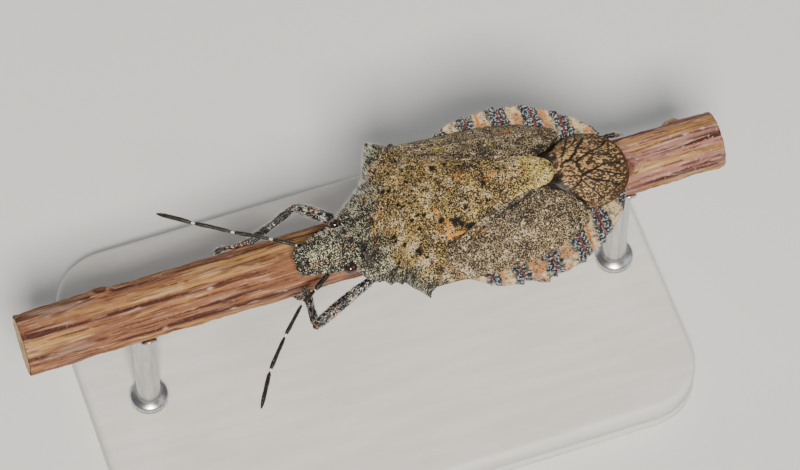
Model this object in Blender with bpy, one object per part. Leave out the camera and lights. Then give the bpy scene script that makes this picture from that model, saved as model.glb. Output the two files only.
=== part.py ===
"""A rough-backed shield bug at rest on a cut length of twig, held up by a plain display stand.

Sizes are in millimetres and become metres when a mesh is made. The bug is modelled in a frame
of its own: x runs back from the tip of the head, y runs from the midline to its right side and
z is up. Legs, feelers and perch share the twig's frame, whose x axis is the middle of the twig.
"""
import math

import bmesh
import bpy
from mathutils import Matrix, Vector

MM = 0.001
GAP = 0.25
SMOOTH_ANGLE = math.radians(40)

# Where the parts stand over the middle of the base's underside
AXIS_HEIGHT = 11.0
HEAD_TIP_X = -4.5
BUG_SIDE_STEP = -1.5
BUG_LIFT = 0.2
BUG_YAW = math.radians(1.15)

# The back: crown along the midline, and where the back reaches its outer edge
CREST = ((3.0, 3.42), (3.6, 3.62), (4.5, 4.15), (5.6, 4.82), (6.9, 5.22), (8.6, 5.42),
         (10.6, 5.42), (13.0, 5.1), (14.6, 4.75), (16.0, 4.25), (17.0, 3.85))
FLANK_WIDTH = ((3.0, 2.1), (4.4, 3.0), (5.1, 4.6), (6.5, 4.1), (9.0, 3.72), (12.0, 3.52),
               (14.1, 2.75), (17.0, 2.3))
FLANK_HEIGHT = ((3.0, 2.85), (4.4, 3.35), (5.1, 4.2), (6.5, 4.22), (9.0, 4.15), (12.0, 4.0),
                (14.1, 3.85), (17.0, 3.45))
BACK_ROUNDING = 1.8
PLATE = 0.55

# Head: distance from its tip, half-width, and heights of crown, side edge and throat
HEAD = ((0.0, 0.46, 2.62, 2.56, 2.46), (0.1, 0.68, 2.72, 2.57, 2.38), (0.45, 0.84, 2.84, 2.6, 2.28),
        (1.0, 1.0, 2.97, 2.65, 2.18), (1.6, 1.16, 3.12, 2.7, 2.12), (2.0, 1.2, 3.22, 2.75, 2.12),
        (2.12, 0.8, 3.24, 2.78, 2.12), (2.68, 0.8, 3.3, 2.82, 2.12),
        (2.8, 1.16, 3.32, 2.85, 2.12), (3.12, 1.02, 3.36, 2.85, 2.16))
EYE_CENTRE = (2.4, 1.31, 2.95)
EYE_RADII = (0.28, 0.25, 0.27)

# Pronotum: outer margin from front corner to rear corner, and its rows along the midline
PRONOTUM_FRONT = 3.4
PRONOTUM_REAR = 7.28
FRONT_CORNER = (3.2, 2.05)
WAIST = (4.4, 2.68)
MARGIN_TEETH = 4
TOOTH = 0.14
SHOULDER = ((4.5, 3.3), (4.62, 3.85), (4.85, 4.26), (5.14, 4.56), (5.32, 4.3), (5.8, 4.14),
            (6.4, 3.42), (6.92, 2.56))
SHIELD_SKEW = 0.06

# Scutellum: half-width along its length
SCUTELLUM = ((7.56, 2.42), (8.0, 2.2), (9.0, 1.72), (10.0, 1.4), (11.0, 1.16), (12.2, 0.9),
             (12.8, 0.62), (13.1, 0.3))
SCUTELLUM_SWELL = 0.12

# Forewings: leathery corium, then the veined membrane
CORIUM_OUTER = ((6.25, 4.02), (7.5, 4.02), (9.0, 4.04), (10.4, 4.0), (11.4, 3.84), (12.4, 3.58),
                (13.3, 3.22), (14.1, 2.7))
CORIUM_TAIL = ((12.62, 1.05), (13.3, 1.55), (14.05, 2.3))
CORIUM_FRONT = (7.25, 2.84)
CORIUM_ROWS = 15
MEMBRANE_FRONT = ((0.0, 13.42), (0.5, 13.36), (0.8, 13.2), (1.25, 13.55), (1.95, 14.28),
                  (2.6, 14.48))
MEMBRANE_CENTRE = 14.45
MEMBRANE_LENGTH = 2.45
MEMBRANE_HALF_WIDTH = 2.55
MEMBRANE_SWEEP = math.radians(80)
MEMBRANE_ROWS = 9
LEFT_VEINS = (-0.82, -0.6, -0.4, -0.2, 0.0, 0.16)
RIGHT_VEINS = (0.52, 0.68, 0.84)
VEIN_WIDTH = 0.035
VEIN_HEIGHT = 0.12
WING_PARTING = (0.28, 0.38)

# Abdomen: half-width of its rim, and the joints between its six visible segments
RIM = ((7.7, 3.8), (8.3, 4.2), (8.8, 4.55), (9.3, 4.68), (10.6, 4.82), (11.7, 4.86), (12.6, 4.72),
       (13.5, 4.36), (14.5, 3.76), (15.4, 3.0), (16.0, 2.25), (16.35, 1.4))
SUTURES = (7.7, 8.6, 10.1, 11.75, 13.35, 14.6, 16.35)
RIM_TOP = 3.68
RIM_LOW = 3.16
RIM_STEP = 0.16
RIM_BORDER = 0.2
VENTER = 2.25
VENTER_END = 2.62
VENTER_ROUNDING = 2.2

# Thorax: half-width of the underside that carries the legs
THORAX = ((3.42, 1.3), (4.3, 2.1), (5.2, 3.0), (6.2, 3.4), (7.42, 3.6))

# Beak, folded back between the legs: distance from head tip, height and radius
BEAK = ((0.5, 1.92, 0.12), (0.62, 1.86, 0.22), (1.3, 1.66, 0.25), (3.2, 1.66, 0.24),
        (4.2, 1.72, 0.22), (6.5, 1.74, 0.2), (8.6, 1.72, 0.14), (9.1, 1.72, 0.06))

# Feelers, as points in the twig's frame from root to tip; the joints are thinner than the rest
FEELERS = {
    "antenna_left": ((1.2, -2.52, 2.2), (0.55, -2.95, 2.36), (-0.3, -3.5, 2.4),
                     (-1.6, -4.8, 2.2), (-2.85, -6.26, 2.0), (-3.85, -7.99, 1.9)),
    "antenna_right": ((1.2, -0.5, 2.2), (0.5, -0.3, 2.3), (-0.6, 0.42, 2.36),
                      (-2.24, 1.37, 2.4), (-3.92, 2.43, 2.5), (-5.43, 3.5, 2.5)),
}
FEELER_RADIUS = 0.25
FEELER_TIP = 0.1

# Legs in the twig's frame: coxa, trochanter and knee as points, then the ankle, sole and claws
# as (distance from head tip, degrees round the twig from its top towards the bug's right)
LEGS = {
    "leg_front_left": ((4.1, -2.5, 1.92), (3.7, -2.95, 1.96), (0.13, -4.24, 1.2),
                       (0.45, -86), (0.3, -114), (0.1, -141)),
    "leg_front_right": ((4.1, -0.68, 1.96), (3.7, -0.3, 2.04), (1.2, 2.35, 1.3),
                        (-1.35, 66), (-2.3, 61), (-3.2, 58)),
    "leg_mid_left": ((5.3, -2.6, 1.92), (5.7, -2.95, 1.94), (7.3, -3.9, 1.4),
                     (6.6, -84), (6.4, -113), (6.2, -141)),
    "leg_mid_right": ((5.3, -0.68, 1.96), (5.5, -0.2, 2.06), (6.6, 3.58, 2.2),
                      (7.6, 105), (7.9, 133), (8.1, 158)),
    "leg_hind_left": ((7.2, -2.78, 1.92), (7.7, -3.1, 1.94), (11.5, -5.65, 1.6),
                      (14.3, -87), (14.6, -114), (14.8, -141)),
    "leg_hind_right": ((7.2, -0.78, 1.96), (7.7, -0.3, 2.06), (11.8, 2.6, 1.9),
                       (15.9, 62), (16.9, 59), (17.8, 58)),
}
COXA_RADIUS = 0.27
FEMUR_RADIUS = 0.3
TIBIA_RADIUS = 0.25
TARSUS_RADIUS = 0.2
CLAW_LENGTH = 0.42
CLAW_SPREAD = math.radians(28)

# Perch and stand
TWIG_LENGTH = 36.0
TWIG_RADIUS = (1.56, 1.43)
TWIG_WAVE = 0.035
BASE_SIZE = (30.0, 18.0, 2.0)
BASE_CORNER = 3.0
BASE_BEVEL = 0.35
ROD_RADIUS = 0.6
ROD_PLACES = {"stand_rod_front": -12.0, "stand_rod_rear": 13.0}

# Colour, roughness and metallic value of each finish
FINISHES = {
    "speckled_head": ((0.30, 0.30, 0.22), 0.75, 0.0),
    "eye_gloss": ((0.03, 0.02, 0.015), 0.15, 0.0),
    "feeler_black": ((0.03, 0.03, 0.032), 0.5, 0.0),
    "bark_cuticle": ((0.32, 0.25, 0.14), 0.8, 0.0),
    "scutellum_cuticle": ((0.34, 0.27, 0.15), 0.8, 0.0),
    "corium_cuticle": ((0.26, 0.21, 0.14), 0.8, 0.0),
    "wing_membrane": ((0.33, 0.23, 0.12), 0.45, 0.0),
    "banded_abdomen": ((0.38, 0.33, 0.24), 0.7, 0.0),
    "underside": ((0.42, 0.34, 0.22), 0.7, 0.0),
    "leg_black": ((0.06, 0.065, 0.075), 0.6, 0.0),
    "twig_bark": ((0.36, 0.2, 0.13), 0.9, 0.0),
    "stand_paint": ((0.72, 0.70, 0.66), 0.5, 0.0),
    "stand_steel": ((0.6, 0.6, 0.6), 0.3, 1.0),
}


def clear_scene():
    """Take every object out of the open scene."""
    for thing in list(bpy.data.objects):
        bpy.data.objects.remove(thing, do_unlink=True)


def finish(name):
    """The Principled material of a named finish, made once."""
    found = bpy.data.materials.get(name)
    if found:
        return found
    colour, roughness, metallic = FINISHES[name]
    made = bpy.data.materials.new(name)
    made.use_nodes = True
    shader = made.node_tree.nodes["Principled BSDF"]
    shader.inputs["Base Color"].default_value = (*colour, 1.0)
    shader.inputs["Roughness"].default_value = roughness
    shader.inputs["Metallic"].default_value = metallic
    return made


def guide(name, place, turn=0.0):
    """An empty that carries a group of parts."""
    empty = bpy.data.objects.new(name, None)
    empty.location = Vector(place) * MM
    empty.rotation_euler = (0.0, 0.0, turn)
    bpy.context.collection.objects.link(empty)
    return empty


def add_part(name, parent, finish_name, points, faces):
    """One closed body from points in millimetres and faces that index them."""
    mesh = bpy.data.meshes.new(name)
    mesh.from_pydata([Vector(p) * MM for p in points], [], faces)
    shape = bmesh.new()
    shape.from_mesh(mesh)
    bmesh.ops.recalc_face_normals(shape, faces=shape.faces)
    shape.to_mesh(mesh)
    shape.free()
    mesh.shade_smooth()
    mesh.set_sharp_from_angle(angle=SMOOTH_ANGLE)
    part = bpy.data.objects.new(name, mesh)
    part.parent = parent
    part.data.materials.append(finish(finish_name))
    bpy.context.collection.objects.link(part)
    return part


def follow(stations, x):
    """Value at x on the smooth curve through (x, value) stations, held flat past both ends."""
    if x <= stations[0][0]:
        return stations[0][1]
    if x >= stations[-1][0]:
        return stations[-1][1]
    last = len(stations) - 1
    i = max(k for k in range(last) if stations[k][0] <= x)
    (x0, a), (x1, b) = stations[i], stations[i + 1]
    slope = (b - a) / (x1 - x0)
    before = (a - stations[i - 1][1]) / (x0 - stations[i - 1][0]) if i else slope
    after = (stations[i + 2][1] - b) / (stations[i + 2][0] - x1) if i + 1 < last else slope
    start = 0.5 * (slope + before) * (x1 - x0)
    end = 0.5 * (slope + after) * (x1 - x0)
    t = (x - x0) / (x1 - x0)
    rise = b - a
    return a + start * t + (3 * rise - 2 * start - end) * t * t + (start + end - 2 * rise) * t ** 3


def spread(first, last, count):
    """Evenly spaced values from first to last."""
    return [first + (last - first) * i / (count - 1) for i in range(count)]


def back_height(x, y):
    """Height of the bug's back, the top of pronotum, scutellum and wings."""
    crown = follow(CREST, x)
    edge = follow(FLANK_HEIGHT, x)
    return crown - (crown - edge) * (abs(y) / follow(FLANK_WIDTH, x)) ** BACK_ROUNDING


def under_plates(x, y):
    """Height of the body's core, a gap below the plates of the back."""
    return back_height(x, y) - PLATE - GAP


def loft(name, parent, finish_name, rings):
    """A closed body through rings of equal count, each end closed by a fan."""
    count = len(rings[0])
    points = [p for ring in rings for p in ring]
    faces = []
    for r in range(len(rings) - 1):
        for k in range(count):
            near, far = r * count + k, r * count + (k + 1) % count
            faces.append((near, far, far + count, near + count))
    for start in (0, len(rings) - 1):
        ring = rings[start]
        points.append(sum((Vector(p) for p in ring), Vector()) / count)
        for k in range(count):
            faces.append((start * count + k, start * count + (k + 1) % count, len(points) - 1))
    return add_part(name, parent, finish_name, points, faces)


def slab(name, parent, finish_name, top, thickness):
    """A closed plate under a grid of points, with both faces split into triangles alike."""
    rows, columns = len(top), len(top[0])
    points = [p for row in top for p in row]
    points += [(x, y, z - thickness) for row in top for x, y, z in row]
    below = rows * columns
    faces = []
    for r in range(rows - 1):
        for c in range(columns - 1):
            a = r * columns + c
            b, d, e = a + 1, a + columns, a + columns + 1
            for corner in ((a, b, e), (a, e, d)):
                faces.append(corner)
                faces.append(tuple(below + k for k in reversed(corner)))
    edge = [c for c in range(columns)]
    edge += [r * columns + columns - 1 for r in range(1, rows)]
    edge += [(rows - 1) * columns + c for c in range(columns - 2, -1, -1)]
    edge += [r * columns for r in range(rows - 2, 0, -1)]
    for i, here in enumerate(edge):
        ahead = edge[(i + 1) % len(edge)]
        faces.append((here, ahead, below + ahead))
        faces.append((here, below + ahead, below + here))
    return add_part(name, parent, finish_name, points, faces)


def tube_rings(path, radii, sides):
    """Round rings along a path of points, each turned to halve the bend at its point."""
    points = [Vector(p) for p in path]
    rings = []
    upright = abs((points[1] - points[0]).normalized().z) > 0.9
    side = Vector((1.0, 0.0, 0.0)) if upright else Vector((0.0, 0.0, 1.0))
    for i, point in enumerate(points):
        ahead = points[min(i + 1, len(points) - 1)]
        behind = points[max(i - 1, 0)]
        along = Vector()
        if ahead != point:
            along += (ahead - point).normalized()
        if behind != point:
            along += (point - behind).normalized()
        along.normalize()
        side = (side - along * side.dot(along)).normalized()
        other = along.cross(side)
        turns = [2 * math.pi * k / sides for k in range(sides)]
        rings.append([point + radii[i] * (side * math.cos(a) + other * math.sin(a)) for a in turns])
    return rings


def join_pieces(part, pieces):
    """Fuse small closed pieces with a part by one union, then keep its largest closed surface."""
    group = bpy.data.collections.new(part.name + "_pieces")
    bpy.context.scene.collection.children.link(group)
    for piece in pieces:
        bpy.context.collection.objects.unlink(piece)
        group.objects.link(piece)
    union = part.modifiers.new("Union", "BOOLEAN")
    union.operation = "UNION"
    union.operand_type = "COLLECTION"
    union.collection = group
    union.solver = "EXACT"
    bpy.context.view_layer.update()
    fused = bpy.data.meshes.new_from_object(part.evaluated_get(bpy.context.evaluated_depsgraph_get()))
    part.modifiers.remove(union)
    for piece in pieces:
        bpy.data.objects.remove(piece, do_unlink=True)
    bpy.data.collections.remove(group)
    part.data = keep_largest(fused)


def keep_largest(mesh):
    """Drop every loose scrap of a mesh but its largest closed surface."""
    shape = bmesh.new()
    shape.from_mesh(mesh)
    shells = []
    waiting = set(shape.verts)
    while waiting:
        shell = set()
        front = [next(iter(waiting))]
        while front:
            vert = front.pop()
            if vert in shell:
                continue
            shell.add(vert)
            front.extend(edge.other_vert(vert) for edge in vert.link_edges)
        waiting -= shell
        shells.append(shell)
    largest = max(shells, key=len)
    bmesh.ops.delete(shape, geom=[v for v in shape.verts if v not in largest], context="VERTS")
    shape.to_mesh(mesh)
    shape.free()
    return mesh


def make_head(bug):
    """Long flat head with sharp side edges, notched for the eyes."""
    sides = 20
    rings = []
    for x, half, crown, edge, throat in HEAD:
        ring = []
        for k in range(sides):
            turn = 2 * math.pi * k / sides
            lift = math.sin(turn)
            height = (crown - edge) * lift if lift > 0 else -(edge - throat) * abs(lift) ** 1.5
            ring.append((x, half * math.cos(turn), edge + height))
        rings.append(ring)
    loft("head", bug, "speckled_head", rings)


def make_eyes(bug):
    """Round glossy eyes that stand out from the sides of the head."""
    for name, side in (("eye_left", -1), ("eye_right", 1)):
        x, y, z = EYE_CENTRE
        shape = bmesh.new()
        bmesh.ops.create_uvsphere(shape, u_segments=14, v_segments=8, radius=1.0)
        size = Matrix.Diagonal((*EYE_RADII, 1.0))
        shape.transform(Matrix.Translation((x, side * y, z)) @ size)
        points = [v.co.copy() for v in shape.verts]
        faces = [tuple(v.index for v in f.verts) for f in shape.faces]
        shape.free()
        add_part(name, bug, "eye_gloss", points, faces)


def make_beak(bug):
    """Slim beak laid back under the body."""
    path = [(x, 0.0, z) for x, z, radius in BEAK]
    loft("beak", bug, "underside", tube_rings(path, [radius for x, z, radius in BEAK], 8))


def make_feelers(perch):
    """Five-jointed feelers, thickest in the middle of each joint's length."""
    for name, joints in FEELERS.items():
        path, radii = [], []
        for i in range(len(joints) - 1):
            start, end = Vector(joints[i]), Vector(joints[i + 1])
            for fraction, size in ((0.0, 0.8), (0.12, 1.0), (0.88, 1.05)):
                path.append(start.lerp(end, fraction))
                radii.append(FEELER_RADIUS * size)
        path.append(Vector(joints[-1]))
        radii.append(FEELER_TIP)
        loft(name, perch, "feeler_black", tube_rings(path, radii, 8))


def pronotum_margin():
    """Outer edge of the pronotum: toothed front margin, then the squared shoulder."""
    margin = [FRONT_CORNER]
    for i in range(MARGIN_TEETH):
        for part, out in ((0.35, 0.0), (0.8, TOOTH)):
            t = (i + part) / MARGIN_TEETH
            margin.append((FRONT_CORNER[0] + t * (WAIST[0] - FRONT_CORNER[0]),
                           FRONT_CORNER[1] + t * (WAIST[1] - FRONT_CORNER[1]) + out))
    return margin + [WAIST] + list(SHOULDER)


def make_pronotum(bug):
    """Sloping shield behind the head, squared at the shoulders and turned a little to the left."""
    margin = pronotum_margin()
    first, last = margin[0][0], margin[-1][0]
    grid = []
    for x, half in margin:
        t = (x - first) / (last - first)
        centre = PRONOTUM_FRONT + t * (PRONOTUM_REAR - PRONOTUM_FRONT)
        row = []
        for v in spread(-1.0, 1.0, 15):
            y = v * half
            across = centre + (x - centre) * abs(v) ** 2.5
            turned = across - SHIELD_SKEW * (1.0 - t ** 3) * y
            row.append((turned, y, back_height(across, y)))
        grid.append(row)
    slab("pronotum", bug, "bark_cuticle", grid, PLATE)


def make_scutellum(bug):
    """Long tongue-shaped shield between the wings, a little proud of them."""
    start, end = SCUTELLUM[0][0], SCUTELLUM[-1][0]
    grid = []
    for x in spread(start, end, 15):
        half = follow(SCUTELLUM, x)
        bow = 0.3 * (end - x) / (end - start)
        row = []
        for v in spread(-1.0, 1.0, 9):
            across = x - bow * abs(v) ** 2.5
            swell = SCUTELLUM_SWELL * (1.0 - v * v)
            row.append((across, v * half, back_height(across, v * half) + swell))
        grid.append(row)
    slab("scutellum", bug, "scutellum_cuticle", grid, PLATE)


def corium_inner(t):
    """Inner edge of the corium: along the scutellum, then slanting out behind its tip."""
    first, last = CORIUM_FRONT[0], CORIUM_TAIL[-1][0]
    x = first + t * (last - first)
    turn = CORIUM_TAIL[0][0]
    if x < turn:
        beside = follow(SCUTELLUM, max(x, SCUTELLUM[0][0])) + GAP + 0.05
        return x, min(beside, CORIUM_FRONT[1])
    return x, follow(CORIUM_TAIL, x)


def make_coria(bug):
    """Leathery front part of each forewing, with one raised vein along it."""
    ridge_at = 0.55
    columns = (0.0, 0.18, 0.36, ridge_at - 0.06, ridge_at, ridge_at + 0.06, 0.8, 1.0)
    first, last = CORIUM_OUTER[0][0], CORIUM_OUTER[-1][0]
    for name, side in (("corium_left", -1), ("corium_right", 1)):
        grid = []
        for t in spread(0.0, 1.0, CORIUM_ROWS):
            inner = Vector(corium_inner(t))
            outer_x = first + t * (last - first)
            outer = Vector((outer_x, follow(CORIUM_OUTER, outer_x)))
            row = []
            for u in columns:
                x, y = inner.lerp(outer, u)
                raised = 0.08 if u == ridge_at else 0.0
                row.append((x, side * y, back_height(x, y) + raised))
            grid.append(row)
        slab(name, bug, "corium_cuticle", grid, PLATE)


def membrane_point(u, t):
    """Plan point of the membrane: u runs from its left side to its right, t from front to rear."""
    angle = u * MEMBRANE_SWEEP
    rear_x = MEMBRANE_CENTRE + MEMBRANE_LENGTH * math.cos(angle)
    rear_y = MEMBRANE_HALF_WIDTH * math.sin(angle)
    front_y = rear_y * (0.75 + 0.25 * u * u)
    front_x = follow(MEMBRANE_FRONT, abs(front_y))
    return front_x + t * (rear_x - front_x), front_y + t * (rear_y - front_y)


def make_membranes(bug):
    """Thin rear part of each forewing; its veins are ridges that fan out to the rear."""
    low, high = WING_PARTING
    for name, start, end, veins in (("membrane_left", -1.0, low, LEFT_VEINS),
                                    ("membrane_right", high, 1.0, RIGHT_VEINS)):
        columns = [(start, 0.0), (end, 0.0)]
        for vein in veins:
            columns += [(vein - VEIN_WIDTH, 0.0), (vein, VEIN_HEIGHT), (vein + VEIN_WIDTH, 0.0)]
        columns.sort()
        grid = []
        for t in spread(0.0, 1.0, MEMBRANE_ROWS):
            row = []
            for u, ridge in columns:
                x, y = membrane_point(u, t)
                row.append((x, y, back_height(x, y) + ridge))
            grid.append(row)
        slab(name, bug, "wing_membrane", grid, PLATE - 0.03)


def wing_cover(x):
    """Half-width of what the closed wings hide of the abdomen."""
    if x < CORIUM_OUTER[-1][0]:
        return follow(CORIUM_OUTER, x)
    reach = min(1.0, max(0.0, x - MEMBRANE_CENTRE) / MEMBRANE_LENGTH)
    return MEMBRANE_HALF_WIDTH * math.sqrt(1.0 - reach * reach)


def mirrored(half):
    """A closed ring from the right half of a section, bottom middle to top middle."""
    return half + [(x, -y, z) for x, y, z in reversed(half[1:-1])]


def abdomen_section(x, half):
    """Right half of the abdomen's section: round belly, thin rim, and the top under the wings.

    The rim stands level beside the wings and sinks a gap below them where they cover it.
    """
    rear = max(0.0, (x - SUTURES[-3]) / (SUTURES[-1] - SUTURES[-3]))
    belly = VENTER + (VENTER_END - VENTER) * rear ** 1.5
    open_from = min(wing_cover(x) + GAP, half - RIM_BORDER)
    bare = (half - RIM_BORDER - wing_cover(x) - GAP) / RIM_BORDER
    hidden = min(RIM_TOP, under_plates(x, half))
    top = hidden + (RIM_TOP - hidden) * min(1.0, max(0.0, bare))
    low = min(RIM_LOW, top - 0.42)
    section = []
    for t in spread(0.0, 1.0, 7):
        section.append((x, half * t, belly + (low - belly) * t ** VENTER_ROUNDING))
    section.append((x, half, top - 0.15))
    section.append((x, half - 0.5 * RIM_BORDER, top))
    section.append((x, open_from, top))
    inner = open_from - 0.25
    for t in spread(1.0, 0.0, 6):
        section.append((x, inner * t, under_plates(x, inner * t)))
    return mirrored(section)


def make_abdomen(bug):
    """Broad abdomen whose segments end in small corners along the rim."""
    rings = []
    for i in range(len(SUTURES) - 1):
        start, end = SUTURES[i], SUTURES[i + 1]
        middle = spread(0.2, 0.78, 5 if i == len(SUTURES) - 2 else 3)
        steps = [(0.02, -RIM_STEP)] + [(t, 0.0) for t in middle] + [(0.97, RIM_STEP * 0.5)]
        for fraction, step in steps:
            x = start + fraction * (end - start)
            rings.append(abdomen_section(x, follow(RIM, x) + step))
    loft("abdomen", bug, "banded_abdomen", rings)


def make_thorax(bug):
    """Underside of the thorax, below the pronotum and the wing bases."""
    rings = []
    for x in spread(THORAX[0][0], THORAX[-1][0], 9):
        half = follow(THORAX, x)
        shoulder = under_plates(x, half)
        low = min(VENTER + 0.9, shoulder - 0.15)
        section = [(x, half * t, VENTER + (low - VENTER) * t ** VENTER_ROUNDING)
                   for t in spread(0.0, 1.0, 6)]
        section += [(x, half * t, under_plates(x, half * t)) for t in spread(1.0, 0.0, 6)]
        rings.append(mirrored(section))
    loft("thorax", bug, "underside", rings)


def twig_radius(x):
    """Radius of the twig at a distance from the head tip."""
    start = -TWIG_LENGTH / 2 - HEAD_TIP_X
    t = (x - start) / TWIG_LENGTH
    return TWIG_RADIUS[0] + t * (TWIG_RADIUS[1] - TWIG_RADIUS[0])


def on_twig(x, degrees, standoff):
    """A point over the twig's bark, at an angle from its top."""
    reach = twig_radius(x) + standoff
    turn = math.radians(degrees)
    return Vector((x, reach * math.sin(turn), reach * math.cos(turn)))


def make_claws(name, perch, sole, toe):
    """Two short curved claws that part at the end of the foot."""
    forward = (toe - sole).normalized()
    outward = Vector((0.0, toe.y, toe.z)).normalized()
    across = forward.cross(outward)
    claws = []
    for side in (-1, 1):
        aim = forward * math.cos(CLAW_SPREAD) + across * side * math.sin(CLAW_SPREAD)
        root = toe - forward * 0.12
        path = [root, root + aim * CLAW_LENGTH * 0.6,
                root + aim * CLAW_LENGTH - outward * 0.05]
        rings = tube_rings(path, (0.1, 0.08, 0.03), 6)
        claws.append(loft(f"{name}_claw_{side}", perch, "leg_black", rings))
    return claws


def make_legs(perch):
    """Six legs, each one tube from coxa to claws, that reach round the twig."""
    standoff = GAP + TARSUS_RADIUS
    for name, (coxa, hip, knee, *foot) in LEGS.items():
        coxa, hip, knee = Vector(coxa), Vector(hip), Vector(knee)
        ankle, sole, toe = (on_twig(x, degrees, standoff) for x, degrees in foot)
        stretches = (
            (coxa, hip, ((0.0, COXA_RADIUS), (0.6, COXA_RADIUS))),
            (hip, knee, ((0.0, 0.24), (0.25, FEMUR_RADIUS * 0.95), (0.7, FEMUR_RADIUS),
                         (0.92, FEMUR_RADIUS * 0.95))),
            (knee, ankle, ((0.0, 0.26), (0.12, TIBIA_RADIUS), (0.5, TIBIA_RADIUS * 0.92),
                           (0.9, TIBIA_RADIUS))),
            (ankle, sole, ((0.0, 0.21), (0.3, TARSUS_RADIUS), (0.8, TARSUS_RADIUS))),
            (sole, toe, ((0.0, 0.18), (0.4, TARSUS_RADIUS), (0.9, 0.18), (1.0, 0.1))),
        )
        path, radii = [], []
        for start, end, stations in stretches:
            for fraction, radius in stations:
                path.append(start.lerp(end, fraction))
                radii.append(radius)
        leg = loft(name, perch, "leg_black", tube_rings(path, radii, 10))
        join_pieces(leg, make_claws(name, perch, sole, toe))


def make_twig(perch):
    """Cut length of twig, slightly tapered and uneven, with flat ends."""
    start = -TWIG_LENGTH / 2 - HEAD_TIP_X
    rings = []
    for x in spread(start, start + TWIG_LENGTH, 25):
        ring = []
        for k in range(20):
            turn = 2 * math.pi * k / 20
            wave = TWIG_WAVE * math.sin(2.3 * x + 3 * turn) * math.cos(0.7 * x - 2 * turn)
            reach = twig_radius(x) + wave
            ring.append((x, reach * math.cos(turn), reach * math.sin(turn)))
        rings.append(ring)
    loft("perch_twig", perch, "twig_bark", rings)


def rounded_outline(length, width, corner, z):
    """Rectangle with round corners, as points in one level plane."""
    outline = []
    for i, (sx, sy) in enumerate(((1, 1), (-1, 1), (-1, -1), (1, -1))):
        for step in range(6):
            turn = math.pi / 2 * (i + step / 5)
            outline.append((sx * (length / 2 - corner) + corner * math.cos(turn),
                            sy * (width / 2 - corner) + corner * math.sin(turn), z))
    return outline


def make_stand(stand):
    """Flat base with two short rods up to the twig."""
    length, width, height = BASE_SIZE
    rings = [rounded_outline(length, width, BASE_CORNER, 0.0),
             rounded_outline(length, width, BASE_CORNER, height - BASE_BEVEL),
             rounded_outline(length - 2 * BASE_BEVEL, width - 2 * BASE_BEVEL,
                             BASE_CORNER - BASE_BEVEL, height)]
    loft("stand_base", stand, "stand_paint", rings)
    for name, x in ROD_PLACES.items():
        top = AXIS_HEIGHT - twig_radius(x - HEAD_TIP_X) - TWIG_WAVE - GAP
        path = [(x, 0.0, height + GAP), (x, 0.0, top)]
        loft(name, stand, "stand_steel", tube_rings(path, (ROD_RADIUS, ROD_RADIUS), 16))


def main():
    """Build the whole model."""
    clear_scene()
    stand = guide("stand_guide", (0.0, 0.0, 0.0))
    perch = guide("perch_guide", (HEAD_TIP_X, 0.0, AXIS_HEIGHT))
    bug = guide("bug_guide", (HEAD_TIP_X, BUG_SIDE_STEP, AXIS_HEIGHT + BUG_LIFT), -BUG_YAW)
    make_stand(stand)
    make_twig(perch)
    make_head(bug)
    make_eyes(bug)
    make_beak(bug)
    make_feelers(perch)
    make_thorax(bug)
    make_abdomen(bug)
    make_pronotum(bug)
    make_scutellum(bug)
    make_coria(bug)
    make_membranes(bug)
    make_legs(perch)


main()
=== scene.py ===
"""Looks of a rough-backed shield bug on a cut length of twig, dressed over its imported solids.

Sizes are in millimetres and become metres when a mesh is made. Colours are linear. The bug has a frame of
its own: x runs back from the tip of the head, y runs from the midline to its right side and z is up. Legs,
feelers and perch share the twig's frame, whose x axis is the middle of the twig.
"""
import logging
import math
from dataclasses import dataclass
from enum import Enum

import bpy
import numpy as np
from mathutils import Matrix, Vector


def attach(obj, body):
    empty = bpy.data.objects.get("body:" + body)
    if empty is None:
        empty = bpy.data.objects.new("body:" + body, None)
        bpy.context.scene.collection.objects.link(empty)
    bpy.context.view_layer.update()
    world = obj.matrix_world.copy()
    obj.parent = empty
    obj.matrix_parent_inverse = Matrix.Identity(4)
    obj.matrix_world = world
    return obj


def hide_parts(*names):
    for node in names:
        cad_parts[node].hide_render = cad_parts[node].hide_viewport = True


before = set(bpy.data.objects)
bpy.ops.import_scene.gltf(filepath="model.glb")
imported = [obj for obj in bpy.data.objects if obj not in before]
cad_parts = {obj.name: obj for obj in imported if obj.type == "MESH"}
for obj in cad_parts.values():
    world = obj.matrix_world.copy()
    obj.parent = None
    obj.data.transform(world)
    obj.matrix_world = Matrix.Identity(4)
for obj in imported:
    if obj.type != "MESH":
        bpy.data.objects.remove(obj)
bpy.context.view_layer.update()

LOG = logging.getLogger("shield_bug")
MM = 0.001
BODY = "root"

Array = np.ndarray
Point = tuple[float, float, float]
Stations = tuple[tuple[float, float], ...]
Spots = tuple[tuple[float, float, float], ...]
Colour = tuple[float, float, float]
Socket = bpy.types.NodeSocket


class Side(Enum):
    """Side of the bug: the left one is nearest to the camera."""

    LEFT = -1
    RIGHT = 1

    @property
    def label(self) -> str:
        """The side as the names of pieces have it."""
        return self.name.lower()


class Mask(str, Enum):
    """Values kept at each point of a piece, which its finish reads."""

    DARK = "dark"
    PALE = "pale"
    WARM = "warm"
    COOL = "cool"
    PIT = "pit"
    LICHEN = "lichen"
    VEIN = "vein"
    RIM = "rim"
    CUT = "cut"
    DEPTH = "depth"
    TIP = "tip"


@dataclass(frozen=True)
class Place:
    """Where one of the model's own frames stands in the row frame."""

    origin: Point
    turn: float = 0.0

    def turned(self, vectors: Array) -> Array:
        """Directions in this frame, turned to the row frame."""
        c, s = math.cos(self.turn), math.sin(self.turn)
        x, y = vectors[..., 0], vectors[..., 1]
        return np.stack((c * x - s * y, s * x + c * y, vectors[..., 2]), -1)

    def to_row(self, points: Array) -> Array:
        """Points of this frame, in metres in the row frame."""
        return (self.turned(points) + np.array(self.origin)) * MM


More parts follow.
